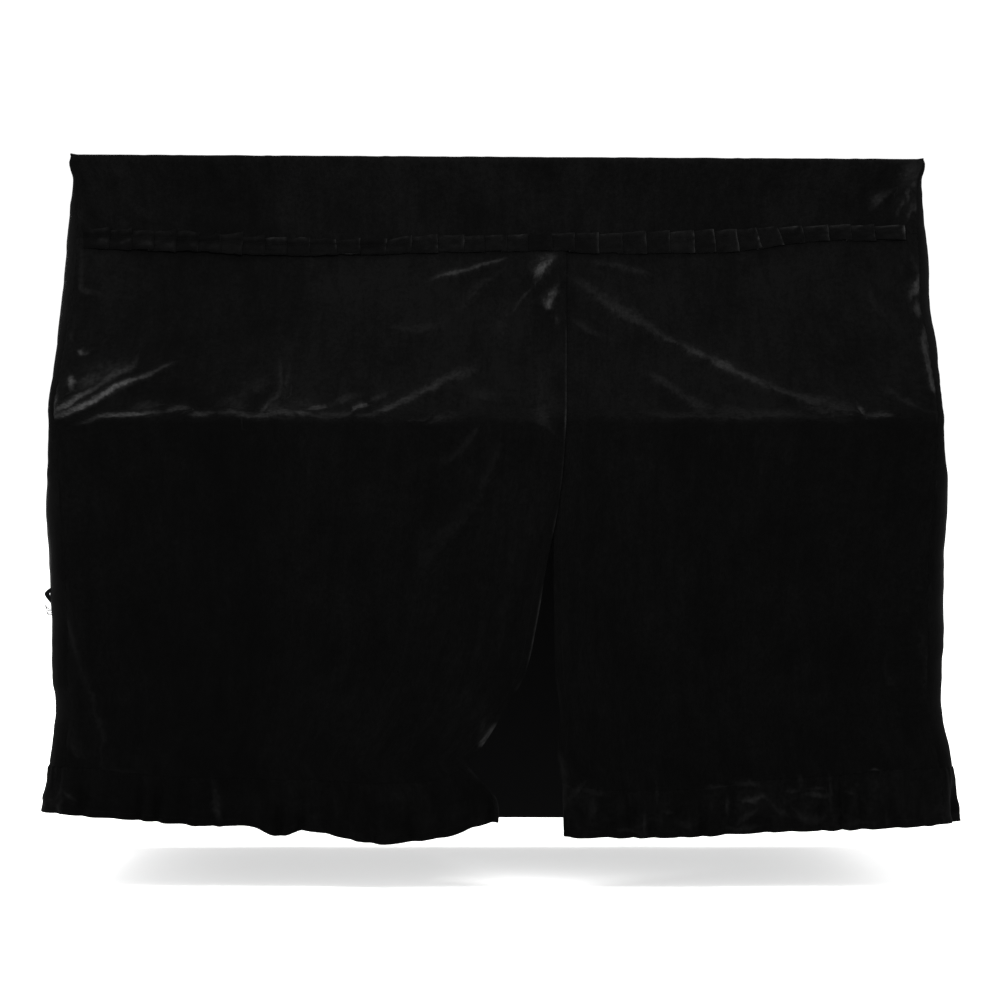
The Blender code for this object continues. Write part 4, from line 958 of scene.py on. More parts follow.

# Painted highlights on the crests of folds, in four groups whose folds keep clear of each other.
FRONT_CRESTS = (
    [
        [(-753, 458, 2, 110), (-733, 455, 2, 391), (-705, 444, 2.2, 700), (-678, 430, 2.4, 739),
         (-651, 414, 2.9, 739), (-623, 399, 3.1, 660), (-606, 394, 2.7, 360), (-589, 389, 2.4, 260),
         (-567, 374, 2.7, 240), (-548, 365, 2.2, 21)],
        [(-742, 420, 2, 16), (-744, 427, 2.9, 243), (-746, 438, 3.8, 201), (-748, 447, 2.9, 36)],
        [(-401, 460, 1.5, 21), (-394, 447, 2.3, 182), (-383, 433, 2.6, 113), (-370, 421, 3.2, 98),
         (-365, 407, 3.2, 71), (-366, 381, 2.6, 53), (-369, 349, 2, 8)],
        [(-119, 222, 2.2, 8), (-101, 216, 2.9, 182), (-82, 211, 3.3, 312), (-60, 207, 2.9, 265),
         (-42, 202, 2.7, 337), (-24, 196, 2.5, 201), (-1, 190, 2.4, 182), (17, 182, 2.2, 47),
         (24, 179, 1.8, 0)],
        [(-234, 454, 1.9, 36), (-218, 453, 2.5, 84), (-201, 451, 2.9, 129), (-185, 445, 3.5, 221),
         (-171, 439, 3.1, 182), (-155, 432, 4.1, 243), (-145, 428, 4.1, 146), (-135, 422, 5.2, 98),
         (-125, 415, 5, 146), (-109, 411, 4.1, 201), (-97, 402, 5, 163), (-86, 395, 5.2, 98),
         (-68, 388, 6.2, 113), (-52, 384, 6.2, 58), (-35, 376, 5.2, 36), (-23, 364, 4.1, 8)],
        [(272, 1077, 1.7, 30), (272, 1091, 2.1, 40), (273, 1108, 1.7, 25)],
        [(392, 1096, 1.7, 35), (392, 1112, 2.1, 81), (393, 1131, 1.7, 35)],
        [(396, 1154, 3.4, 35), (417, 1153, 3.8, 62), (438, 1151, 2.5, 35)],
        [(533, 1086, 2.1, 35), (548, 1085, 2.5, 75), (555, 1086, 1.7, 35)],
        [(635, 1053, 1.3, 30), (642, 1053, 1.5, 169), (649, 1054, 1.1, 30)],
        [(-745, 990, 2.9, 25), (-738, 1010, 2.9, 40), (-740, 1026, 2.4, 35), (-747, 1034, 2.4, 51)],
        [(127, 211, 3.6, 4), (152, 228, 6.2, 47), (181, 251, 5.4, 71), (203, 265, 9.1, 91),
         (231, 285, 8, 98), (256, 299, 6.2, 91), (281, 318, 4.7, 84), (302, 330, 4, 98)],
        [(317, 331, 2.8, 47), (329, 343, 4.5, 146), (349, 354, 3.8, 163), (363, 359, 4.5, 163),
         (378, 367, 5.2, 288), (403, 381, 4.8, 182), (426, 392, 4.5, 163), (456, 405, 5.2, 146),
         (482, 414, 4.5, 113), (515, 427, 4.8, 98), (542, 435, 10.3, 98), (569, 443, 11.4, 84),
         (592, 447, 8.6, 71)],
        [(743, 291, 2.1, 16), (738, 307, 3.8, 182), (734, 325, 4.1, 243), (734, 345, 3.4, 265),
         (737, 369, 3.1, 312), (739, 390, 2.8, 265), (742, 410, 3.1, 364), (744, 419, 2.1, 36)],
        [(727, 173, 3.4, 16), (732, 187, 4.8, 58), (735, 203, 3.8, 58), (736, 211, 2.8, 8)],
        [(-723, 161, 2.2, 8), (-725, 179, 3.1, 36), (-724, 211, 3.1, 47), (-721, 232, 3.6, 58),
         (-709, 242, 4, 65), (-688, 245, 3.1, 36), (-679, 246, 2.2, 0)],
        [(10, 476, 2.2, 5), (4, 511, 4, 13), (-7, 540, 4.7, 17), (-17, 561, 5.1, 25), (-35, 600, 6.1, 17),
         (-57, 629, 8, 17), (-75, 648, 8.7, 21), (-96, 671, 9, 25), (-121, 709, 9, 13),
         (-139, 735, 7.2, 2)],
        [(48, 900, 2.5, 13), (39, 912, 3.6, 35), (32, 920, 2.2, 5)],
        [(2, 971, 1.8, 13), (-3, 981, 2.9, 230), (-14, 997, 3.3, 326), (-23, 1009, 3.6, 252),
         (-27, 1013, 2.2, 21)],
        [(-55, 1042, 2.5, 5), (-39, 1053, 3.3, 25), (-22, 1069, 2.9, 21), (-18, 1074, 2.2, 5)],
        [(98, 885, 1.8, 2), (103, 906, 2.9, 17), (106, 931, 2.9, 13), (107, 945, 1.8, 2)],
        [(99, 1017, 2.5, 5), (108, 1031, 4, 25), (114, 1060, 4.3, 51), (115, 1085, 4.3, 56),
         (114, 1109, 3.6, 35)],
    ],
    [
        [(-745, 454, 2.5, 163), (-735, 448, 2.8, 405), (-720, 441, 3.2, 575), (-707, 427, 3.4, 520),
         (-690, 418, 4, 470), (-679, 412, 4, 300), (-666, 400, 4.4, 290), (-650, 385, 4.6, 230),
         (-633, 379, 5, 200), (-619, 372, 4, 110), (-612, 352, 3, 20)],
        [(-717, 341, 2.3, 16), (-713, 345, 3.2, 364), (-707, 349, 2.9, 243), (-695, 343, 3.5, 16)],
        [(-394, 441, 4.4, 47), (-374, 439, 5.8, 71), (-351, 439, 6.4, 71), (-323, 437, 6.4, 71),
         (-305, 436, 4.4, 26)],
        [(-358, 418, 4.4, 36), (-357, 401, 3.5, 47), (-351, 381, 2.9, 41), (-352, 363, 2, 8)],
        [(-466, 435, 4.4, 26), (-449, 430, 8.7, 47), (-437, 438, 8.7, 53), (-434, 447, 7.3, 36)],
        [(104, 175, 3.6, 26), (97, 184, 5.4, 364), (87, 195, 6.2, 509), (78, 206, 5.8, 575),
         (73, 220, 4, 71)],
        [(103, 281, 2.2, 8), (104, 291, 3.3, 71), (104, 301, 2.2, 8)],
        [(-281, 436, 2.7, 71), (-267, 431, 4.1, 84), (-251, 425, 4.5, 84), (-239, 419, 3.5, 58),
         (-231, 417, 2.5, 16)],
        [(-211, 428, 2.1, 26), (-202, 424, 3.1, 98), (-190, 419, 3.1, 84), (-180, 415, 2.1, 16)],
        [(165, 1104, 5.1, 30), (167, 1121, 5.5, 45), (163, 1133, 4.2, 25)],
        [(286, 1125, 2.1, 35), (292, 1126, 2.5, 75), (298, 1127, 1.7, 35)],
        [(408, 1079, 3, 35), (429, 1078, 3.4, 75), (446, 1081, 2.5, 35)],
        [(494, 1091, 2.1, 35), (502, 1091, 2.5, 62), (510, 1091, 1.7, 35)],
        [(471, 1116, 3, 35), (481, 1125, 3.8, 62), (492, 1131, 3, 35)],
        [(595, 1092, 2.5, 30), (602, 1093, 2.5, 51), (608, 1095, 2.1, 30)],
        [(723, 841, 8.4, 21), (732, 866, 9.3, 35), (728, 895, 7.2, 21)],
        [(-743, 868, 7.3, 10), (-731, 909, 8, 14), (-728, 966, 8.5, 14), (-720, 1004, 9.5, 24),
         (-704, 1024, 9, 22), (-686, 1029, 6.4, 8)],
        [(-114, 467, 2.1, 30), (-98, 460, 3.5, 75), (-80, 456, 5.2, 53), (-66, 453, 4.1, 26)],
        [(-37, 419, 5.4, 26), (-9, 421, 7.3, 36), (5, 426, 4.4, 8)],
        [(613, 437, 2.4, 47), (617, 445, 3.1, 337), (623, 453, 2.4, 71)],
        [(127, 285, 2.2, 4), (144, 297, 3.6, 47), (165, 312, 3.6, 41), (194, 321, 3.3, 16),
         (208, 328, 2.5, 0)],
        [(740, 207, 2.8, 36), (737, 223, 4.1, 312), (731, 237, 5.8, 364), (720, 250, 3.8, 182),
         (714, 257, 2.4, 16)],
        [(-204, 285, 4.5, 8), (-168, 303, 4.9, 26), (-132, 308, 5.4, 47), (-105, 301, 6.9, 26),
         (-78, 297, 6.5, 2)],
        [(-33, 478, 2.9, 40), (-46, 497, 4, 30), (-61, 515, 4, 21), (-86, 530, 4.7, 17),
         (-107, 533, 4.3, 5)],
        [(-24, 835, 2.5, 5), (-30, 853, 4.7, 13), (-37, 871, 4, 9)],
        [(-17, 964, 2.2, 5), (-21, 974, 3.3, 30), (-25, 992, 2.5, 17)],
        [(-16, 1077, 2.2, 5), (-5, 1093, 3.3, 25), (3, 1108, 3.6, 35), (0, 1127, 2.5, 13)],
        [(151, 1075, 2.2, 13), (139, 1088, 3.6, 51), (128, 1101, 3.6, 40), (117, 1114, 3.6, 51),
         (107, 1131, 2.9, 21)],
    ],
    [
        [(-726, 385, 2.6, 16), (-724, 394, 3.6, 509), (-722, 407, 4.1, 592), (-721, 418, 2.3, 16)],
        [(-731, 311, 2, 16), (-731, 318, 2.3, 53), (-727, 327, 1.7, 8)],
        [(13, 206, 3.6, 8), (-9, 217, 4.7, 36), (-31, 236, 4.7, 41), (-56, 265, 5, 22), (-74, 280, 6.4, 4)],
        [(-614, 442, 2.9, 47), (-591, 438, 4.9, 71), (-574, 436, 3.8, 47)],
        [(-435, 427, 7.3, 26), (-427, 415, 8.7, 47), (-415, 411, 7.3, 36), (-396, 398, 8.1, 36),
         (-390, 392, 5.8, 16)],
        [(107, 227, 2.9, 26), (103, 242, 4.4, 182), (95, 258, 5.1, 448), (90, 269, 4.4, 364),
         (88, 274, 2.9, 16)],
        [(63, 235, 1.5, 8), (51, 248, 1.8, 71), (35, 268, 1.8, 58), (28, 277, 1.5, 8)],
        [(-320, 443, 1.4, 47), (-311, 441, 2.1, 337), (-301, 440, 2.3, 448), (-289, 439, 2.1, 337),
         (-285, 439, 1.7, 36)],
        [(-243, 446, 1.4, 71), (-238, 441, 2.1, 364), (-228, 438, 2.5, 391), (-218, 437, 2.1, 243),
         (-214, 436, 1.2, 36)],
        [(-147, 462, 1.2, 35), (-128, 461, 1.8, 51), (-116, 459, 1.8, 62), (-103, 447, 1.8, 26)],
        [(209, 1155, 3, 35), (225, 1156, 3.4, 68), (238, 1160, 2.5, 45)],
        [(304, 1141, 3, 30), (325, 1150, 5.1, 40), (342, 1144, 3.4, 25)],
        [(420, 1106, 3, 75), (437, 1105, 4.6, 169), (452, 1100, 3.4, 102), (462, 1105, 2.1, 35)],
        [(518, 1066, 2.5, 35), (518, 1075, 2.5, 62), (516, 1083, 1.7, 30)],
        [(508, 1125, 3.4, 35), (525, 1139, 5.1, 62), (550, 1139, 4.6, 56), (560, 1127, 3, 30)],
        [(600, 1145, 3.4, 35), (616, 1142, 3.8, 51), (627, 1142, 2.1, 30)],
        [(658, 862, 2.7, 13), (659, 891, 3.4, 17), (670, 906, 4.6, 13)],
        [(-480, 1076, 3.9, 25), (-475, 1100, 4.4, 45), (-474, 1122, 5.3, 81), (-470, 1138, 3.9, 30)],
        [(-730, 1091, 2.4, 30), (-723, 1096, 2.9, 81), (-715, 1103, 1.9, 30)],
        [(77, 401, 7.3, 16), (78, 429, 9.1, 36), (77, 458, 9.1, 62), (87, 472, 5.4, 30)],
        [(157, 186, 2.5, 4), (175, 189, 4, 36), (197, 193, 4.7, 47), (227, 200, 4.7, 71), (256, 208, 4, 47),
         (274, 213, 2.9, 4)],
        [(619, 455, 2.4, 16), (636, 453, 2.8, 163), (656, 453, 2.8, 182), (675, 455, 2.1, 16)],
        [(261, 385, 2.9, 16), (275, 392, 5.4, 71), (292, 404, 4.7, 58), (313, 419, 4.7, 53),
         (330, 431, 6.5, 71), (348, 441, 6.2, 58), (369, 449, 4.7, 16)],
        [(653, 403, 2.4, 4), (666, 413, 4.5, 58), (682, 424, 3.8, 58), (698, 435, 4.5, 71),
         (717, 443, 3.1, 16)],
        [(731, 252, 2.8, 16), (731, 265, 4.1, 243), (731, 277, 4.1, 182), (729, 288, 2.8, 16)],
        [(28, 749, 3.3, 5), (17, 771, 6.1, 17), (11, 799, 6.1, 13), (8, 831, 3.6, 9), (7, 856, 2.5, 2)],
        [(142, 1087, 1.8, 5), (156, 1090, 3.3, 30), (174, 1094, 4.7, 45), (187, 1097, 2.9, 13)],
    ],
    [
        [(-713, 469, 2, 13), (-693, 465, 2.6, 75), (-676, 459, 2.6, 189), (-665, 455, 2.6, 312),
         (-647, 454, 2.3, 448), (-625, 453, 2.2, 419), (-602, 452, 2.2, 448), (-579, 449, 2.6, 337),
         (-564, 449, 2.3, 71)],
        [(-706, 410, 9, 98), (-689, 400, 10.5, 146), (-670, 388, 9.5, 113), (-645, 374, 9, 65),
         (-625, 352, 7, 15)],
        [(-559, 448, 2.6, 47), (-545, 444, 2.9, 182), (-528, 442, 2.6, 163), (-515, 441, 2, 16)],
        [(-517, 453, 2.3, 36), (-505, 452, 2.6, 201), (-488, 451, 2.6, 182), (-476, 448, 2.3, 47)],
        [(-468, 449, 2.9, 47), (-454, 448, 3.8, 113), (-436, 451, 3.5, 182), (-413, 454, 3.5, 146),
         (-393, 455, 2.9, 182), (-379, 450, 4.9, 146), (-362, 449, 4.4, 182), (-342, 448, 4.4, 182)],
        [(14, 259, 3.6, 8), (13, 284, 6.5, 36), (11, 314, 5.4, 36), (4, 325, 3.6, 8)],
        [(-339, 448, 2.3, 182), (-327, 450, 2.7, 243), (-315, 451, 2.3, 98), (-309, 454, 2.5, 71),
         (-287, 455, 3.5, 98), (-262, 454, 3.5, 98), (-250, 451, 2.7, 113), (-244, 449, 1.9, 47)],
        [(251, 1130, 2.1, 35), (251, 1146, 2.5, 75), (252, 1162, 2.1, 35)],
        [(358, 1085, 2.1, 35), (371, 1083, 3, 62), (383, 1082, 2.1, 35)],
        [(409, 1146, 2.5, 51), (422, 1134, 3.8, 88), (437, 1127, 3.4, 62), (443, 1120, 2.1, 30)],
        [(528, 1096, 2.5, 62), (543, 1097, 3.8, 126), (560, 1100, 2.5, 51)],
        [(565, 1066, 1.7, 30), (566, 1091, 2.1, 45), (567, 1125, 1.7, 25)],
        [(660, 1125, 1.7, 35), (661, 1139, 2.1, 62), (662, 1148, 1.7, 35)],
        [(-731, 780, 2.4, 12), (-723, 811, 2.9, 40), (-713, 846, 2.9, 34), (-705, 873, 3.4, 18),
         (-693, 904, 4.4, 16), (-682, 930, 3.6, 26), (-679, 957, 3, 16), (-671, 978, 4, 30),
         (-664, 1001, 3.4, 22), (-669, 1014, 2.4, 12), (-668, 1033, 2.4, 14), (-666, 1050, 2.4, 12),
         (-643, 1055, 2.4, 10), (-618, 1057, 2.4, 20)],
        [(241, 447, 2.5, 4), (276, 453, 3.6, 36), (305, 454, 3.6, 47), (340, 454, 3.6, 47),
         (379, 452, 7.3, 47), (422, 451, 7.3, 53), (446, 453, 5.4, 58)],
        [(345, 447, 5.8, 53), (386, 451, 6.2, 53), (440, 452, 5.2, 53), (480, 452, 4.5, 58),
         (514, 454, 4.1, 36), (541, 457, 2.8, 21)],
        [(650, 233, 2.8, 8), (652, 255, 4.1, 36), (661, 276, 5.2, 41), (673, 290, 3.4, 8)],
    ],
)


def free_edge(hand, drop):
    return read_off(SLIT, 1 if hand == LEFT else 2, drop)


def front_x(hand, drop, share):
    """x of a front panel's thread: share 0 is at the rounded corner and 1 at the free edge."""
    corner = hand * straight_front(hand, drop)
    crowded = share * (1 + EDGE_CROWDING - EDGE_CROWDING * share)
    return corner + (free_edge(hand, drop) - corner) * crowded


def panel_drop(hand, share, base):
    """A thread's drop once the panel's head follows the frill, and its foot the flounce's seam."""
    x = front_x(hand, base, share)
    head = frill_seam(x) - SEAM_LAP / 2 - BAND_FOOT_DROP
    foot = read_off(HEM_LINE, 1, x) + SEAM_LAP / 2 - FRONT_FOOT_DROP
    near_head = 1 - ease(BAND_FOOT_DROP, LEVEL_FROM, base)
    near_foot = ease(LEVEL_TO, FRONT_FOOT_DROP, base)
    return base + head * near_head + foot * near_foot


def front_relief(hand, station, drop):
    """Folds, sway, lap, facing and seams of the front, and the painted light, shade and highlights that the
    velvet reads there.
    """
    x = wall_point(hand, station, drop)[:, 0]
    height, pile = fold_field(FRONT_FOLDS, x, drop), gleam_field(FRONT_CRESTS, x, drop)
    beside_frill = 1 - ease(0.095, 0.118, drop) + ease(0.172, 0.196, drop)
    plumb = ease(KEYBOARD_DROP, FRONT_FOOT_DROP, drop)
    sway = 0.0035 * wave(x, 0.700, 1.1) + 0.0025 * wave(x, 0.300, 0.4)
    height = (height * beside_frill + sway * plumb) * (1 - ease(0.97, CORNER_SEAM, station))
    height = height + 0.0007 * crumple(x, drop, 0.050, 31) * ease(0.165, 0.185, drop)
    height = height + 0.0012 * crumple(x, drop / 1.8, 0.085, 32) * plumb
    crease = KEYBOARD_DROP - 0.003 + 0.0012 * crumple(x, 0 * x, 0.030, 34)
    lumpy = 0.8 + 0.35 * crumple(x, 0 * x, 0.018, 33)
    height = height + KEYBOARD_CREASE * bump(drop, crease, 0.006) * lumpy
    edge = hand * (x - free_edge(hand, drop))
    facing = FACING_LIFT * (1 - ease(FACING - 0.001, FACING + 0.0015, edge))
    facing = facing - FACING_LIFT * bump(edge, FACING - 0.002, 0.0012)
    if hand == LEFT:
        low = ease(0.62, 0.98, drop)
        curl = CURL * low * (1 - ease(0, 0.100, edge))
        height = height + LAP_HEIGHT * ease(LAP_START, LAP_FULL, x) + curl + facing
        height = height - 0.0010 * np.exp(-edge / 0.0012)
        # A painted highlight along the free edge.
        pile["painted_highlight_and_brushing"] = np.maximum(read_off(EDGE_GLEAM, 1, drop), 0) * bump(edge, 0, 0.0018)
    else:
        height = (height + facing) * ease(0.112, 0.150, x)
        pile["painted_highlight_and_brushing"] = 0 * x
    distance = from_corner_seam(hand, station, drop)
    pile["painted_light_and_tone"] = painted_light_and_tone(x, drop)
    return height + seam_pucker(distance, cloth_length(drop), 41) + dents(hand, station, drop), pile


def front_rows(fall):
    """Base drops of a front panel, with close rows over the keyboard's edge."""
    return np.interp(fall, (0, 0.32, 0.42, 1), (BAND_FOOT_DROP, *CLOSE_ROWS, FRONT_FOOT_DROP))


def front_share(hand, across):
    """Share of a front cloth's thread from the corner, and how far it has left the corner's arc."""
    from_corner = across if hand == LEFT else 1 - across
    return np.clip((from_corner - FRONT_ARC) / (1 - FRONT_ARC), 0, 1), np.clip(from_corner / FRONT_ARC, 0, 1)


def front_station(hand, share, off_arc, drop):
    station = hand * front_x(hand, drop, share) / straight_front(hand, drop)
    on_arc = 1 + (1 - off_arc) * (CORNER_SEAM + half_corner_lap(drop) - 1)
    return np.where(off_arc < 1, on_arc, station)


def hang_front(hand, across, fall):
    share, off_arc = front_share(hand, across)
    drop = panel_drop(hand, share, front_rows(fall))
    station = front_station(hand, share, off_arc, drop)
    height, pile = front_relief(hand, station, drop)
    return on_wall(hand, station, drop, height), pile


front_left_cloth = hang_cloth(
    "front_left_cloth", 190, 244, partial(hang_front, LEFT), CLOTH, (0.86, 1.02), velvet
)
front_right_cloth = hang_cloth(
    "front_right_cloth", 152, 244, partial(hang_front, RIGHT), CLOTH, (0.67, 1.02), velvet
)
for cloth, hand, node, width in (
    (front_left_cloth, LEFT, "front_left_panel", 0.87),
    (front_right_cloth, RIGHT, "front_right_panel", 0.68),
):
    run = np.linspace(0.03, 0.995, 1200)
    drops = front_rows(run)
    reach = straight_front(hand, drops) - hand * free_edge(hand, drops)
    from_corner = 1 - (FACING - 0.002) / (reach * (1 - EDGE_CROWDING))
    facing_line = from_corner if hand == LEFT else 1 - from_corner
    seam = seam_on(partial(hang_front, hand), facing_line, run)
    stitches = sew(node.replace("panel", "stitches"), [seam], black_thread)
    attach(stitches, "root")
    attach(cloth, "root")
    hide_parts(node)

# ------------------------------------------------------------------ side panels
# A gusset on either side, cut to the keyboard's step: as deep as the lid at its head, 0.47 m deep
# at its foot. It is sewn to the front round the corner, and to the back. Its folds and crests are
# given by their distance behind the front and their drop.
SIDE_FRONT_ARC, SIDE_BACK_ARC, HEAD_DIP = 0.10, 0.020, 0.0010
HALF_BACK_LAP = CORNER_LAP / 2 / (BACK_CORNER * math.pi / 2)  # in stations
SIDE_FOLDS = [
    fold([(70, 500), (80, 630), (92, 780), (110, 1040)], 30, 8, steep=1, ends=(0.16, 0.9)),
    fold([(200, 470), (212, 620), (222, 780), (235, 1040)], 40, 9, steep=1, ends=(0.16, 0.9)),
    fold([(360, 330), (374, 560), (380, 760), (385, 1040)], 45, 8, steep=1, ends=(0.16, 0.9)),
    fold([(500, 180), (507, 450), (513, 720), (520, 1040)], 36, 6, steep=1, ends=(0.16, 0.9)),
    fold([(20, 470), (60, 430), (110, 370), (150, 320)], 14, 3),
    fold([(30, 500), (90, 520), (150, 560)], 16, 2.5),
]
# Painted highlights on the crests of the side's folds.
SIDE_CRESTS = (
    [
        [(30, 462, 2.5, 20), (60, 430, 3.8, 130), (100, 382, 4.4, 110), (140, 332, 3.8, 10)],
        [(198, 520, 5, 0), (210, 640, 8.1, 80), (222, 800, 8.8, 100), (234, 990, 6.2, 0)],
        [(290, 90, 3.8, 0), (312, 130, 5, 60), (340, 190, 5, 50), (356, 250, 3.8, 0)],
    ],
    [
        [(30, 500, 3.1, 20), (90, 520, 4.4, 80), (150, 558, 4.4, 10)],
        [(360, 380, 5, 0), (373, 540, 8.8, 90), (379, 720, 7.5, 60), (384, 900, 5, 0)],
    ],
    [
        [(74, 540, 3.8, 0), (82, 680, 7.5, 70), (94, 820, 8.1, 80), (106, 1000, 5, 0)],
        [(498, 200, 5, 0), (505, 380, 7.5, 80), (510, 560, 7.5, 60), (516, 800, 5, 0)],
        [(20, 475, 2.5, 20), (50, 478, 3.8, 110), (90, 476, 3.8, 30), (120, 470, 2.5, 0)],
    ],
)

THREAD_RADIUS, THREAD_POINTS = 0.00065, 14
LOOSE_THREADS = [  # station, drop and how far out, from end to end
    [
        (1.93, 0.757 - 0.011 * size, -0.001), (1.95, 0.757 - 0.006 * size, 0.0061 * size),
        (1.95, 0.757, 0.0098 * size), (1.94, 0.757 + 0.008 * size, 0.0049 * size),
        (1.92, 0.757 + 0.016 * size, -0.001),
    ]
    for size in (1, 0.88, 0.76, 0.64, 0.52, 0.40, 0.28)
] + [
    [(1.90, 0.783, -0.001), (1.92, 0.783, 0.0040), (1.93, 0.780, 0.0075), (1.93, 0.776, 0.0100)],
    [(1.94, 0.785, -0.001), (1.95, 0.786, 0.0050), (1.94, 0.783, 0.0080), (1.92, 0.778, 0.0092)],
    [(1.92, 0.789, -0.001), (1.93, 0.790, 0.0050), (1.94, 0.788, 0.0085), (1.94, 0.787, 0.0102)],
    [(1.96, 0.792, -0.001), (1.95, 0.793, 0.0040), (1.93, 0.792, 0.0065), (1.90, 0.790, 0.0080)],
]


def side_relief(hand, station, drop):
    y = wall_point(hand, station, drop)[:, 1]
    behind = y - front_y(drop)
    height = fold_field(SIDE_FOLDS, behind, drop)
    height = height + 0.0020 * wave(behind, 0.390, 1.0) * ease(0, KEYBOARD_DROP, drop)
    height = height + 0.0010 * crumple(behind, drop / 1.8, 0.075, 51 + hand) * ease(0, 0.1, drop)
    height = height * ease(CORNER_SEAM, 2.00, station) * (1 - ease(2.85, BACK_CORNER_SEAM, station))
    distance = from_corner_seam(hand, station, drop)
    to_back = np.maximum(BACK_CORNER_SEAM - station, 0) * BACK_CORNER * math.pi / 2
    to_back = to_back + np.clip(3 - station, 0, 1) * (BACK_Y - front_y(drop) - BACK_CORNER)
    height = height + seam_pucker(distance, cloth_length(drop), 52) + seam_pucker(to_back, drop, 53)
    pile = gleam_field(SIDE_CRESTS, behind, drop)
    pile["painted_highlight_and_brushing"] = 0 * drop
    # Darker towards the bottom, with a random tone.
    pile["painted_light_and_tone"] = 0.66 - 0.18 * ease(0.35, 0.60, drop) + 0.12 * crumple(behind, drop, 0.07, 54)
    head_dip = -HEAD_DIP * np.exp(-np.maximum(drop, 0) / EDGE_REACH)
    return height + head_dip + dents(hand, station, drop), pile


def side_station(across, drop):
    """Station between the front corner's seam, across 0, and the back corner's, across 1."""
    start = CORNER_SEAM - half_corner_lap(drop)
    past_side = across - 1 + SIDE_BACK_ARC
    on_front = start + (2 - start) * across / SIDE_FRONT_ARC
    on_side = 2 + (across - SIDE_FRONT_ARC) / (1 - SIDE_FRONT_ARC - SIDE_BACK_ARC)
    on_back = 3 + (BACK_CORNER_SEAM - 3 + HALF_BACK_LAP) * past_side / SIDE_BACK_ARC
    return np.select([across < SIDE_FRONT_ARC, across <= 1 - SIDE_BACK_ARC], [on_front, on_side], on_back)


def hang_side(hand, across, fall):
    from_front = across if hand == RIGHT else 1 - across
    corner = hand * straight_front(hand, 0)
    head = LID_CLOTH_FALL * corner - CORNER_LAP
    foot = float(panel_drop(hand, np.zeros(1), np.full(1, FRONT_FOOT_DROP))[0])
    drop = np.interp(fall, (0, 0.36, 0.44, 1), (head, *CLOSE_ROWS, foot))
    station = side_station(from_front, drop)
    height, pile = side_relief(hand, station, drop)
    return on_wall(hand, station, drop, height), pile


def loose_threads(hand):
    """A few ends and loops of thread that have worked loose from the seam at knee height."""
    bpy.ops.object.select_all(action="DESELECT")
    bpy.ops.curve.primitive_bezier_curve_add(location=(0, 0, 0))
    threads = bpy.context.object
    threads.name = threads.data.name = "loose_threads"
    threads.data.splines.clear()
    threads.data.dimensions, threads.data.use_fill_caps = "3D", True
    threads.data.bevel_depth, threads.data.bevel_resolution = THREAD_RADIUS, 1
    for thread in LOOSE_THREADS:
        station, drop, out = np.array(thread).T
        keys, shares = np.linspace(0, 1, len(thread)), np.linspace(0, 1, THREAD_POINTS)
        station, drop, out = (curve(keys, row, shares) for row in (station, drop, out))
        out = out + side_relief(hand, station, drop)[0]
        points = on_wall(hand, station, drop, out)
        line = threads.data.splines.new("POLY")
        line.points.add(len(points) - 1)
        line.points.foreach_set("co", np.column_stack((points, np.ones(len(points)))).ravel())
    bpy.ops.object.convert(target="MESH")
    threads = bpy.context.object
    threads.data.materials.append(black_thread)
    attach(threads, "root")
    return threads


for hand, name in ((LEFT, "left_side"), (RIGHT, "right_side")):
    side_cloth = hang_cloth(f"{name}_cloth", 104, 212, partial(hang_side, hand), CLOTH, (0.50, 1.10), velvet)
    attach(side_cloth, "root")
    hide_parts(f"{name}_panel")
    loose = [loose_threads(hand)] if hand == LEFT else []

# ------------------------------------------------------------------ back panel
# The plain panel behind, 1.51 m by 1.21 m, which hangs from the lid in a few long soft folds. It has
# no flounce, only a narrow turned hem. Folds and crests are given by x and drop.
BACK_HEM_DROP, BACK_TURNING, BACK_TURNING_LIFT = 1.214, 0.015, 0.0005
BACK_ARC = 0.008
BACK_FOLDS = [
    fold([(560, 80), (575, 380), (590, 740), (600, 1220)], 50, 7, steep=1, ends=(0.25, 1)),
    fold([(250, 160), (235, 460), (228, 800), (220, 1220)], 60, 6, steep=1, ends=(0.25, 1)),
    fold([(-110, 60), (-120, 400), (-150, 780), (-160, 1220)], 45, 6.5, steep=1, ends=(0.25, 1)),
    fold([(-430, 200), (-440, 480), (-436, 800), (-425, 1220)], 55, 7, steep=1, ends=(0.25, 1)),
    fold([(-640, 120), (-645, 400), (-650, 760), (-652, 1220)], 40, 5, steep=1, ends=(0.25, 1)),
    fold([(735, 20), (690, 70), (640, 105), (580, 125)], 14, 3.5),
    fold([(-735, 20), (-700, 80), (-655, 130), (-600, 160)], 14, 3.5),
]
# Painted highlights on the crests of the back's folds.
BACK_CRESTS = (
    [
        [(566, 200, 7.2, 0), (575, 380, 11.6, 40), (590, 740, 11.6, 60), (598, 1080, 8.7, 0)],
        [(-111, 100, 5.8, 0), (-120, 400, 10.2, 50), (-148, 760, 11.6, 40), (-158, 1100, 8.7, 0)],
        [(-646, 360, 7.2, 0), (-649, 560, 10.2, 40), (-651, 800, 10.2, 20), (-652, 1000, 7.2, 0)],
    ],
    [
        [(238, 360, 8.7, 0), (231, 600, 13, 40), (228, 840, 11.6, 30), (222, 1120, 8.7, 0)],
        [(-438, 340, 8.7, 0), (-440, 520, 13, 50), (-436, 800, 13, 40), (-428, 1100, 8.7, 0)],
        [(728, 28, 2.9, 10), (690, 70, 6.5, 40), (640, 105, 7.2, 20), (590, 124, 4.3, 0)],
        [(-730, 28, 2.9, 10), (-700, 80, 6.5, 40), (-655, 130, 6.5, 20), (-610, 156, 4.3, 0)],
    ],
)


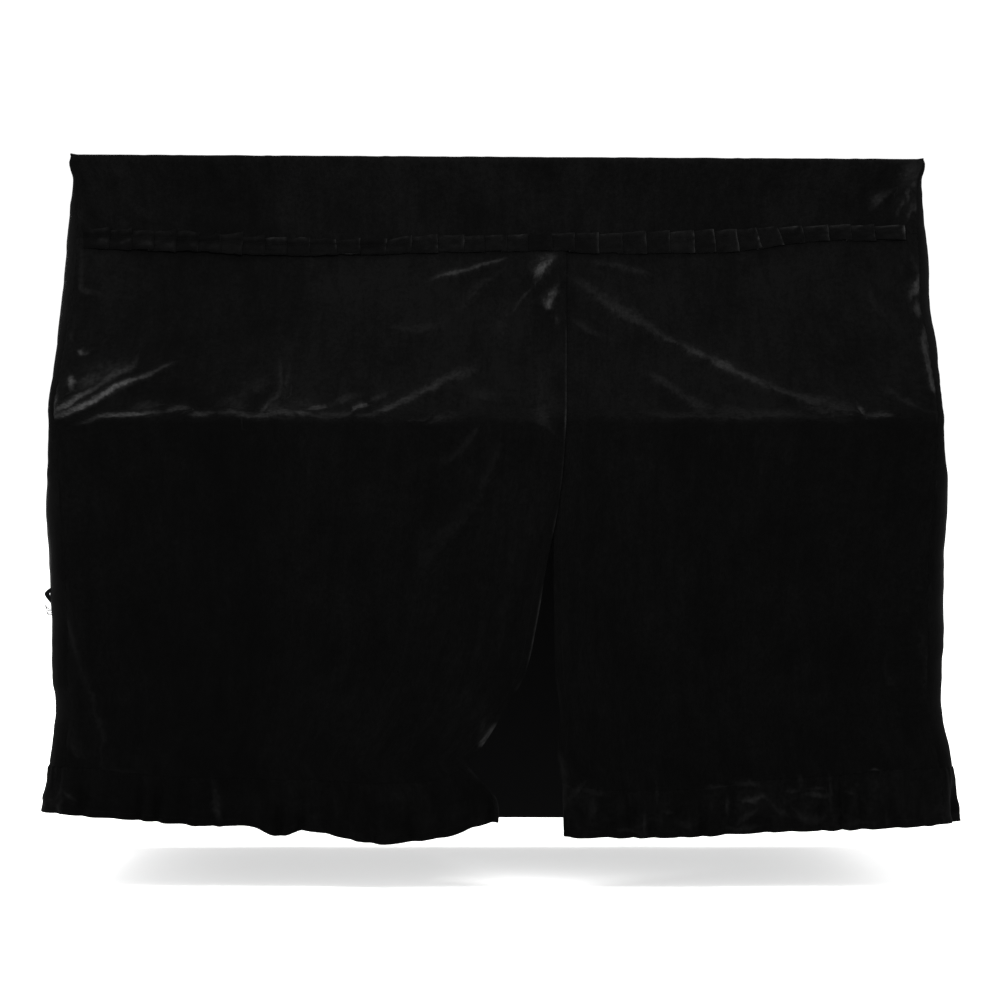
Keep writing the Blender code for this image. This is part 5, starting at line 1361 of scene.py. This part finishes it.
def hang_back(across, fall):
    place, past = between_corners(across, BACK_ARC)
    hand = np.where(place > 0, LEFT, RIGHT)
    station = 5 - np.minimum(np.abs(place), 1)
    x = wall_point(hand, station, 0 * across)[:, 0]
    head = LID_CLOTH_FALL * x - CORNER_LAP
    drop = head + (BACK_HEM_DROP - head) * fall
    station = station - past * (4 - BACK_CORNER_SEAM + HALF_BACK_LAP)
    sway = 0.0020 * wave(x, 0.450, 0.6) * ease(0, BACK_HEM_DROP, drop)
    sway = (sway + fold_field(BACK_FOLDS, x, drop)) * ease(BACK_CORNER_SEAM, 4.15, station)
    to_seam = (station - BACK_CORNER_SEAM) * BACK_CORNER * math.pi / 2
    to_seam = to_seam + np.maximum(station - 4, 0) * (BACK_HALF_WIDTH - BACK_CORNER)
    rumple = 0.0012 * crumple(x, drop / 2.0, 0.10, 61) * ease(0, 0.1, drop)
    turning = BACK_HEM_DROP - BACK_TURNING
    hem = BACK_TURNING_LIFT * (ease(turning - 0.001, turning + 0.001, drop) - bump(drop, turning, 0.0015))
    head_dip = -HEAD_DIP * np.exp(-drop / EDGE_REACH)
    height = sway + rumple + hem + seam_pucker(to_seam, drop, 62) + head_dip
    pile = gleam_field(BACK_CRESTS, x, drop)
    pile["painted_light_and_tone"] = 0.60 + 0.14 * crumple(x, drop, 0.12, 63)
    return on_wall(hand, station, drop, height), pile


back_cloth = hang_cloth("back_cloth", 160, 116, hang_back, CLOTH, (1.53, 1.2), velvet)
run = np.linspace(0.012, 0.988, 1500)
back_hem = seam_on(hang_back, run, 0 * run + 1 - (BACK_TURNING - 0.002) / BACK_HEM_DROP)
back_stitches = sew("back_stitches", [back_hem], black_thread)
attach(back_stitches, "root")
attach(back_cloth, "root")
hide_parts("back_panel")

# ------------------------------------------------------------------ gathered flounces
# Four strips of velvet about 85 mm tall, drawn up on a thread and sewn along the foot of the front
# and side panels. Small puckers below the seam join into folds about 46 mm apart at the hem.
GATHER_PITCH, GATHER_DEPTH, FLOUNCE_FLARE = 0.046, 0.0085, 0.0035
FLOUNCE_HEIGHT, HEM_FOLD, HEM_LIFT = 0.085, 0.010, 0.0006
SIDE_HEM_DROP, SIDE_LEVEL_STATION = 1.146, 2.342


def girth(hand, station):
    """Distance round the cover's foot from the middle of the front."""
    straight, radius = straight_front(hand, FRONT_FOOT_DROP), corner_radius(FRONT_FOOT_DROP)
    side = BACK_Y - BACK_CORNER - front_y(FRONT_FOOT_DROP) - radius
    on_front = straight * np.minimum(station, 1)
    on_corner = radius * math.pi / 2 * np.clip(station - 1, 0, 1)
    return hand * (on_front + on_corner + side * np.maximum(station - 2, 0))


def gathers(hand, station, drop, fall):
    """Folds of a flounce. fall is 0 at its seam and 1 at its hem."""
    at = girth(hand, station)
    turn = 2 * math.pi * at / GATHER_PITCH + 1.4 * wave(at, 0.290)
    turn = turn + 0.8 * wave(at, 0.117) + 0.5 * crumple(at, fall, 0.08, 71) * fall
    depth = GATHER_DEPTH * (0.75 + 0.25 * wave(at, 0.190, 0.9))
    free = (1 - ease(2.85, 3, station)) * fall**0.8
    folds = free * (FLOUNCE_FLARE + depth * (np.sin(turn) + 0.22 * np.sin(2 * turn + 0.7)))
    drawn = 0.0013 * wave(at, 0.0125, 2.2 * crumple(at, 0 * at, 0.03, 72))
    drawn = drawn * np.exp(-fall / 0.22) * (1 - np.exp(-fall / 0.03))
    seam = -0.0009 * np.exp(-fall / 0.025) + 0.0006 * bump(fall, 0.07, 0.05)
    creases = 0.0016 * crumple(at, drop, 0.020, 73) * ease(0.05, 0.3, fall)
    turning = 1 - HEM_FOLD / FLOUNCE_HEIGHT
    hem = ease(turning - 0.02, turning, fall) - bump((1 - fall) * FLOUNCE_HEIGHT, HEM_FOLD, 0.0013)
    brushed = 0.04 * np.clip(crumple(at, drop, 0.0065, 74) + crumple(at, drop, 0.030, 75) - 0.40, 0, 1)
    return folds + drawn + seam + creases + HEM_LIFT * hem, brushed * ease(0.02, 0.2, fall)


def flounce_drop(hand, share, fall):
    """Drop of a spot on a front flounce, whose head follows the panel's foot."""
    x = front_x(hand, FRONT_FOOT_DROP + fall * (SIDE_HEM_DROP - FRONT_FOOT_DROP), share)
    seam = read_off(HEM_LINE, 1, x) - SEAM_LAP / 2
    return seam + (read_off(HEM_LINE, 2, x) - seam) * fall


def hang_front_flounce(hand, across, fall):
    share, off_arc = front_share(hand, across)
    drop = flounce_drop(hand, share, fall)
    station = front_station(hand, share, off_arc, drop)
    height, pile = front_relief(hand, station, drop)
    ruffle, brushed = gathers(hand, station, drop, fall)
    points = on_wall(hand, station, drop, height + ruffle)
    # Lighter patches, fading out towards the left, and a tone a little lighter on the right flounce than the
    # left.
    pile["painted_highlight_and_brushing"] = pile["painted_highlight_and_brushing"] + 0.6 * brushed * ease(-0.6, 0.15, points[:, 0])
    blotches = 0.10 * crumple(points[:, 0], drop, 0.022, 76)
    pile["painted_light_and_tone"] = pile["painted_light_and_tone"] + 0.05 + 0.05 * hand + blotches
    return points, pile


def hang_side_flounce(hand, across, fall):
    from_front = across if hand == RIGHT else 1 - across
    corner = np.zeros(across.shape)
    seam, at_corner = flounce_drop(hand, corner, corner), flounce_drop(hand, corner, fall)
    station = side_station(from_front, FRONT_FOOT_DROP + 0 * fall)
    along_side = seam + (SIDE_HEM_DROP - seam) * fall
    drop = at_corner + (along_side - at_corner) * ease(2, SIDE_LEVEL_STATION, station)
    height, pile = side_relief(hand, station, drop)
    ruffle, brushed = gathers(hand, station, drop, fall)
    pile["painted_highlight_and_brushing"] = pile["painted_highlight_and_brushing"] + brushed
    pile["painted_light_and_tone"] = pile["painted_light_and_tone"] + 0.05
    return on_wall(hand, station, drop, height + ruffle), pile


for hand, name, hang, columns, width in (
    (LEFT, "front_left_flounce", hang_front_flounce, 320, 0.76),
    (RIGHT, "front_right_flounce", hang_front_flounce, 270, 0.66),
    (LEFT, "left_side_flounce", hang_side_flounce, 240, 0.66),
    (RIGHT, "right_side_flounce", hang_side_flounce, 240, 0.66),
):
    hang_flounce = partial(hang, hand)
    flounce_cloth = hang_cloth(f"{name}_cloth", columns, 30, hang_flounce, CLOTH, (width, 0.09), trim_velvet)
    run = np.linspace(0.005, 0.995, 1500)
    hem = seam_on(hang_flounce, run, 0 * run + 1 - 1.15 * HEM_FOLD / FLOUNCE_HEIGHT)
    hem_stitches = sew(f"{name}_stitches", [hem], black_thread)
    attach(hem_stitches, "root")
    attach(flounce_cloth, "root")
    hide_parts(name)

# ------------------------------------------------------------------ floor
# The plain pale floor that the instrument would stand on.
FLOOR_HEIGHT = -1.262
bpy.ops.object.select_all(action="DESELECT")
bpy.ops.mesh.primitive_plane_add(size=60, location=(0, 0, FLOOR_HEIGHT))
floor = bpy.context.object
floor.name = "floor"
pale = bpy.data.materials.new("pale_floor")
pale.use_nodes = True
paint = pale.node_tree.nodes["Principled BSDF"].inputs
paint["Base Color"].default_value = (0.93, 0.93, 0.93, 1)
paint["Roughness"].default_value = 0.9
paint["Emission Color"].default_value = (1, 1, 1, 1)
paint["Emission Strength"].default_value = 0.6
floor.data.materials.append(pale)

# ------------------------------------------------------------------ light
# A white room, a wide soft lamp in front and above, tall soft lamps at the sides, and a soft lamp behind.
room = bpy.data.worlds.new("white_room")
room.use_nodes = True
room.node_tree.nodes["Background"].inputs["Color"].default_value = (1, 1, 1, 1)
room.node_tree.nodes["Background"].inputs["Strength"].default_value = 1.06
bpy.context.scene.world = room


def hang_lamp(name, place, aim, width, height, power):
    bpy.ops.object.select_all(action="DESELECT")
    bpy.ops.object.light_add(type="AREA", location=place)
    lamp = bpy.context.object
    lamp.name = name
    lamp.data.shape, lamp.data.size, lamp.data.size_y, lamp.data.energy = "RECTANGLE", width, height, power
    away = lamp.location - type(lamp.location)(aim)
    lamp.rotation_euler = away.to_track_quat("Z", "Y").to_euler()


hang_lamp("front_lamp", (-0.3, -2.0, 1.15), (0, -0.25, -0.2), 2.4, 0.6, 85)
hang_lamp("left_lamp", (-3.2, 1.1, 0.6), (-0.7, 0.0, -0.5), 0.8, 1.6, 36)
hang_lamp("right_lamp", (3.2, 1.1, 0.6), (0.7, 0.0, -0.5), 0.8, 1.6, 36)
hang_lamp("back_lamp", (-2.0, 3.0, 1.0), (-0.1, 0.2, -0.5), 1.0, 0.8, 110)
bpy.context.scene.view_settings.view_transform = "Standard"

# ------------------------------------------------------------------ camera
# A long lens at the height of the keyboard, square to the front and tipped down a little.
bpy.ops.object.select_all(action="DESELECT")
bpy.ops.object.camera_add(location=(-0.009, -6.289, -0.40), rotation=(math.radians(90 - 1.77), 0, 0))
camera = bpy.context.object
camera.name = "camera"
camera.data.lens, camera.data.sensor_width = 126.53, 36
bpy.context.scene.camera = camera
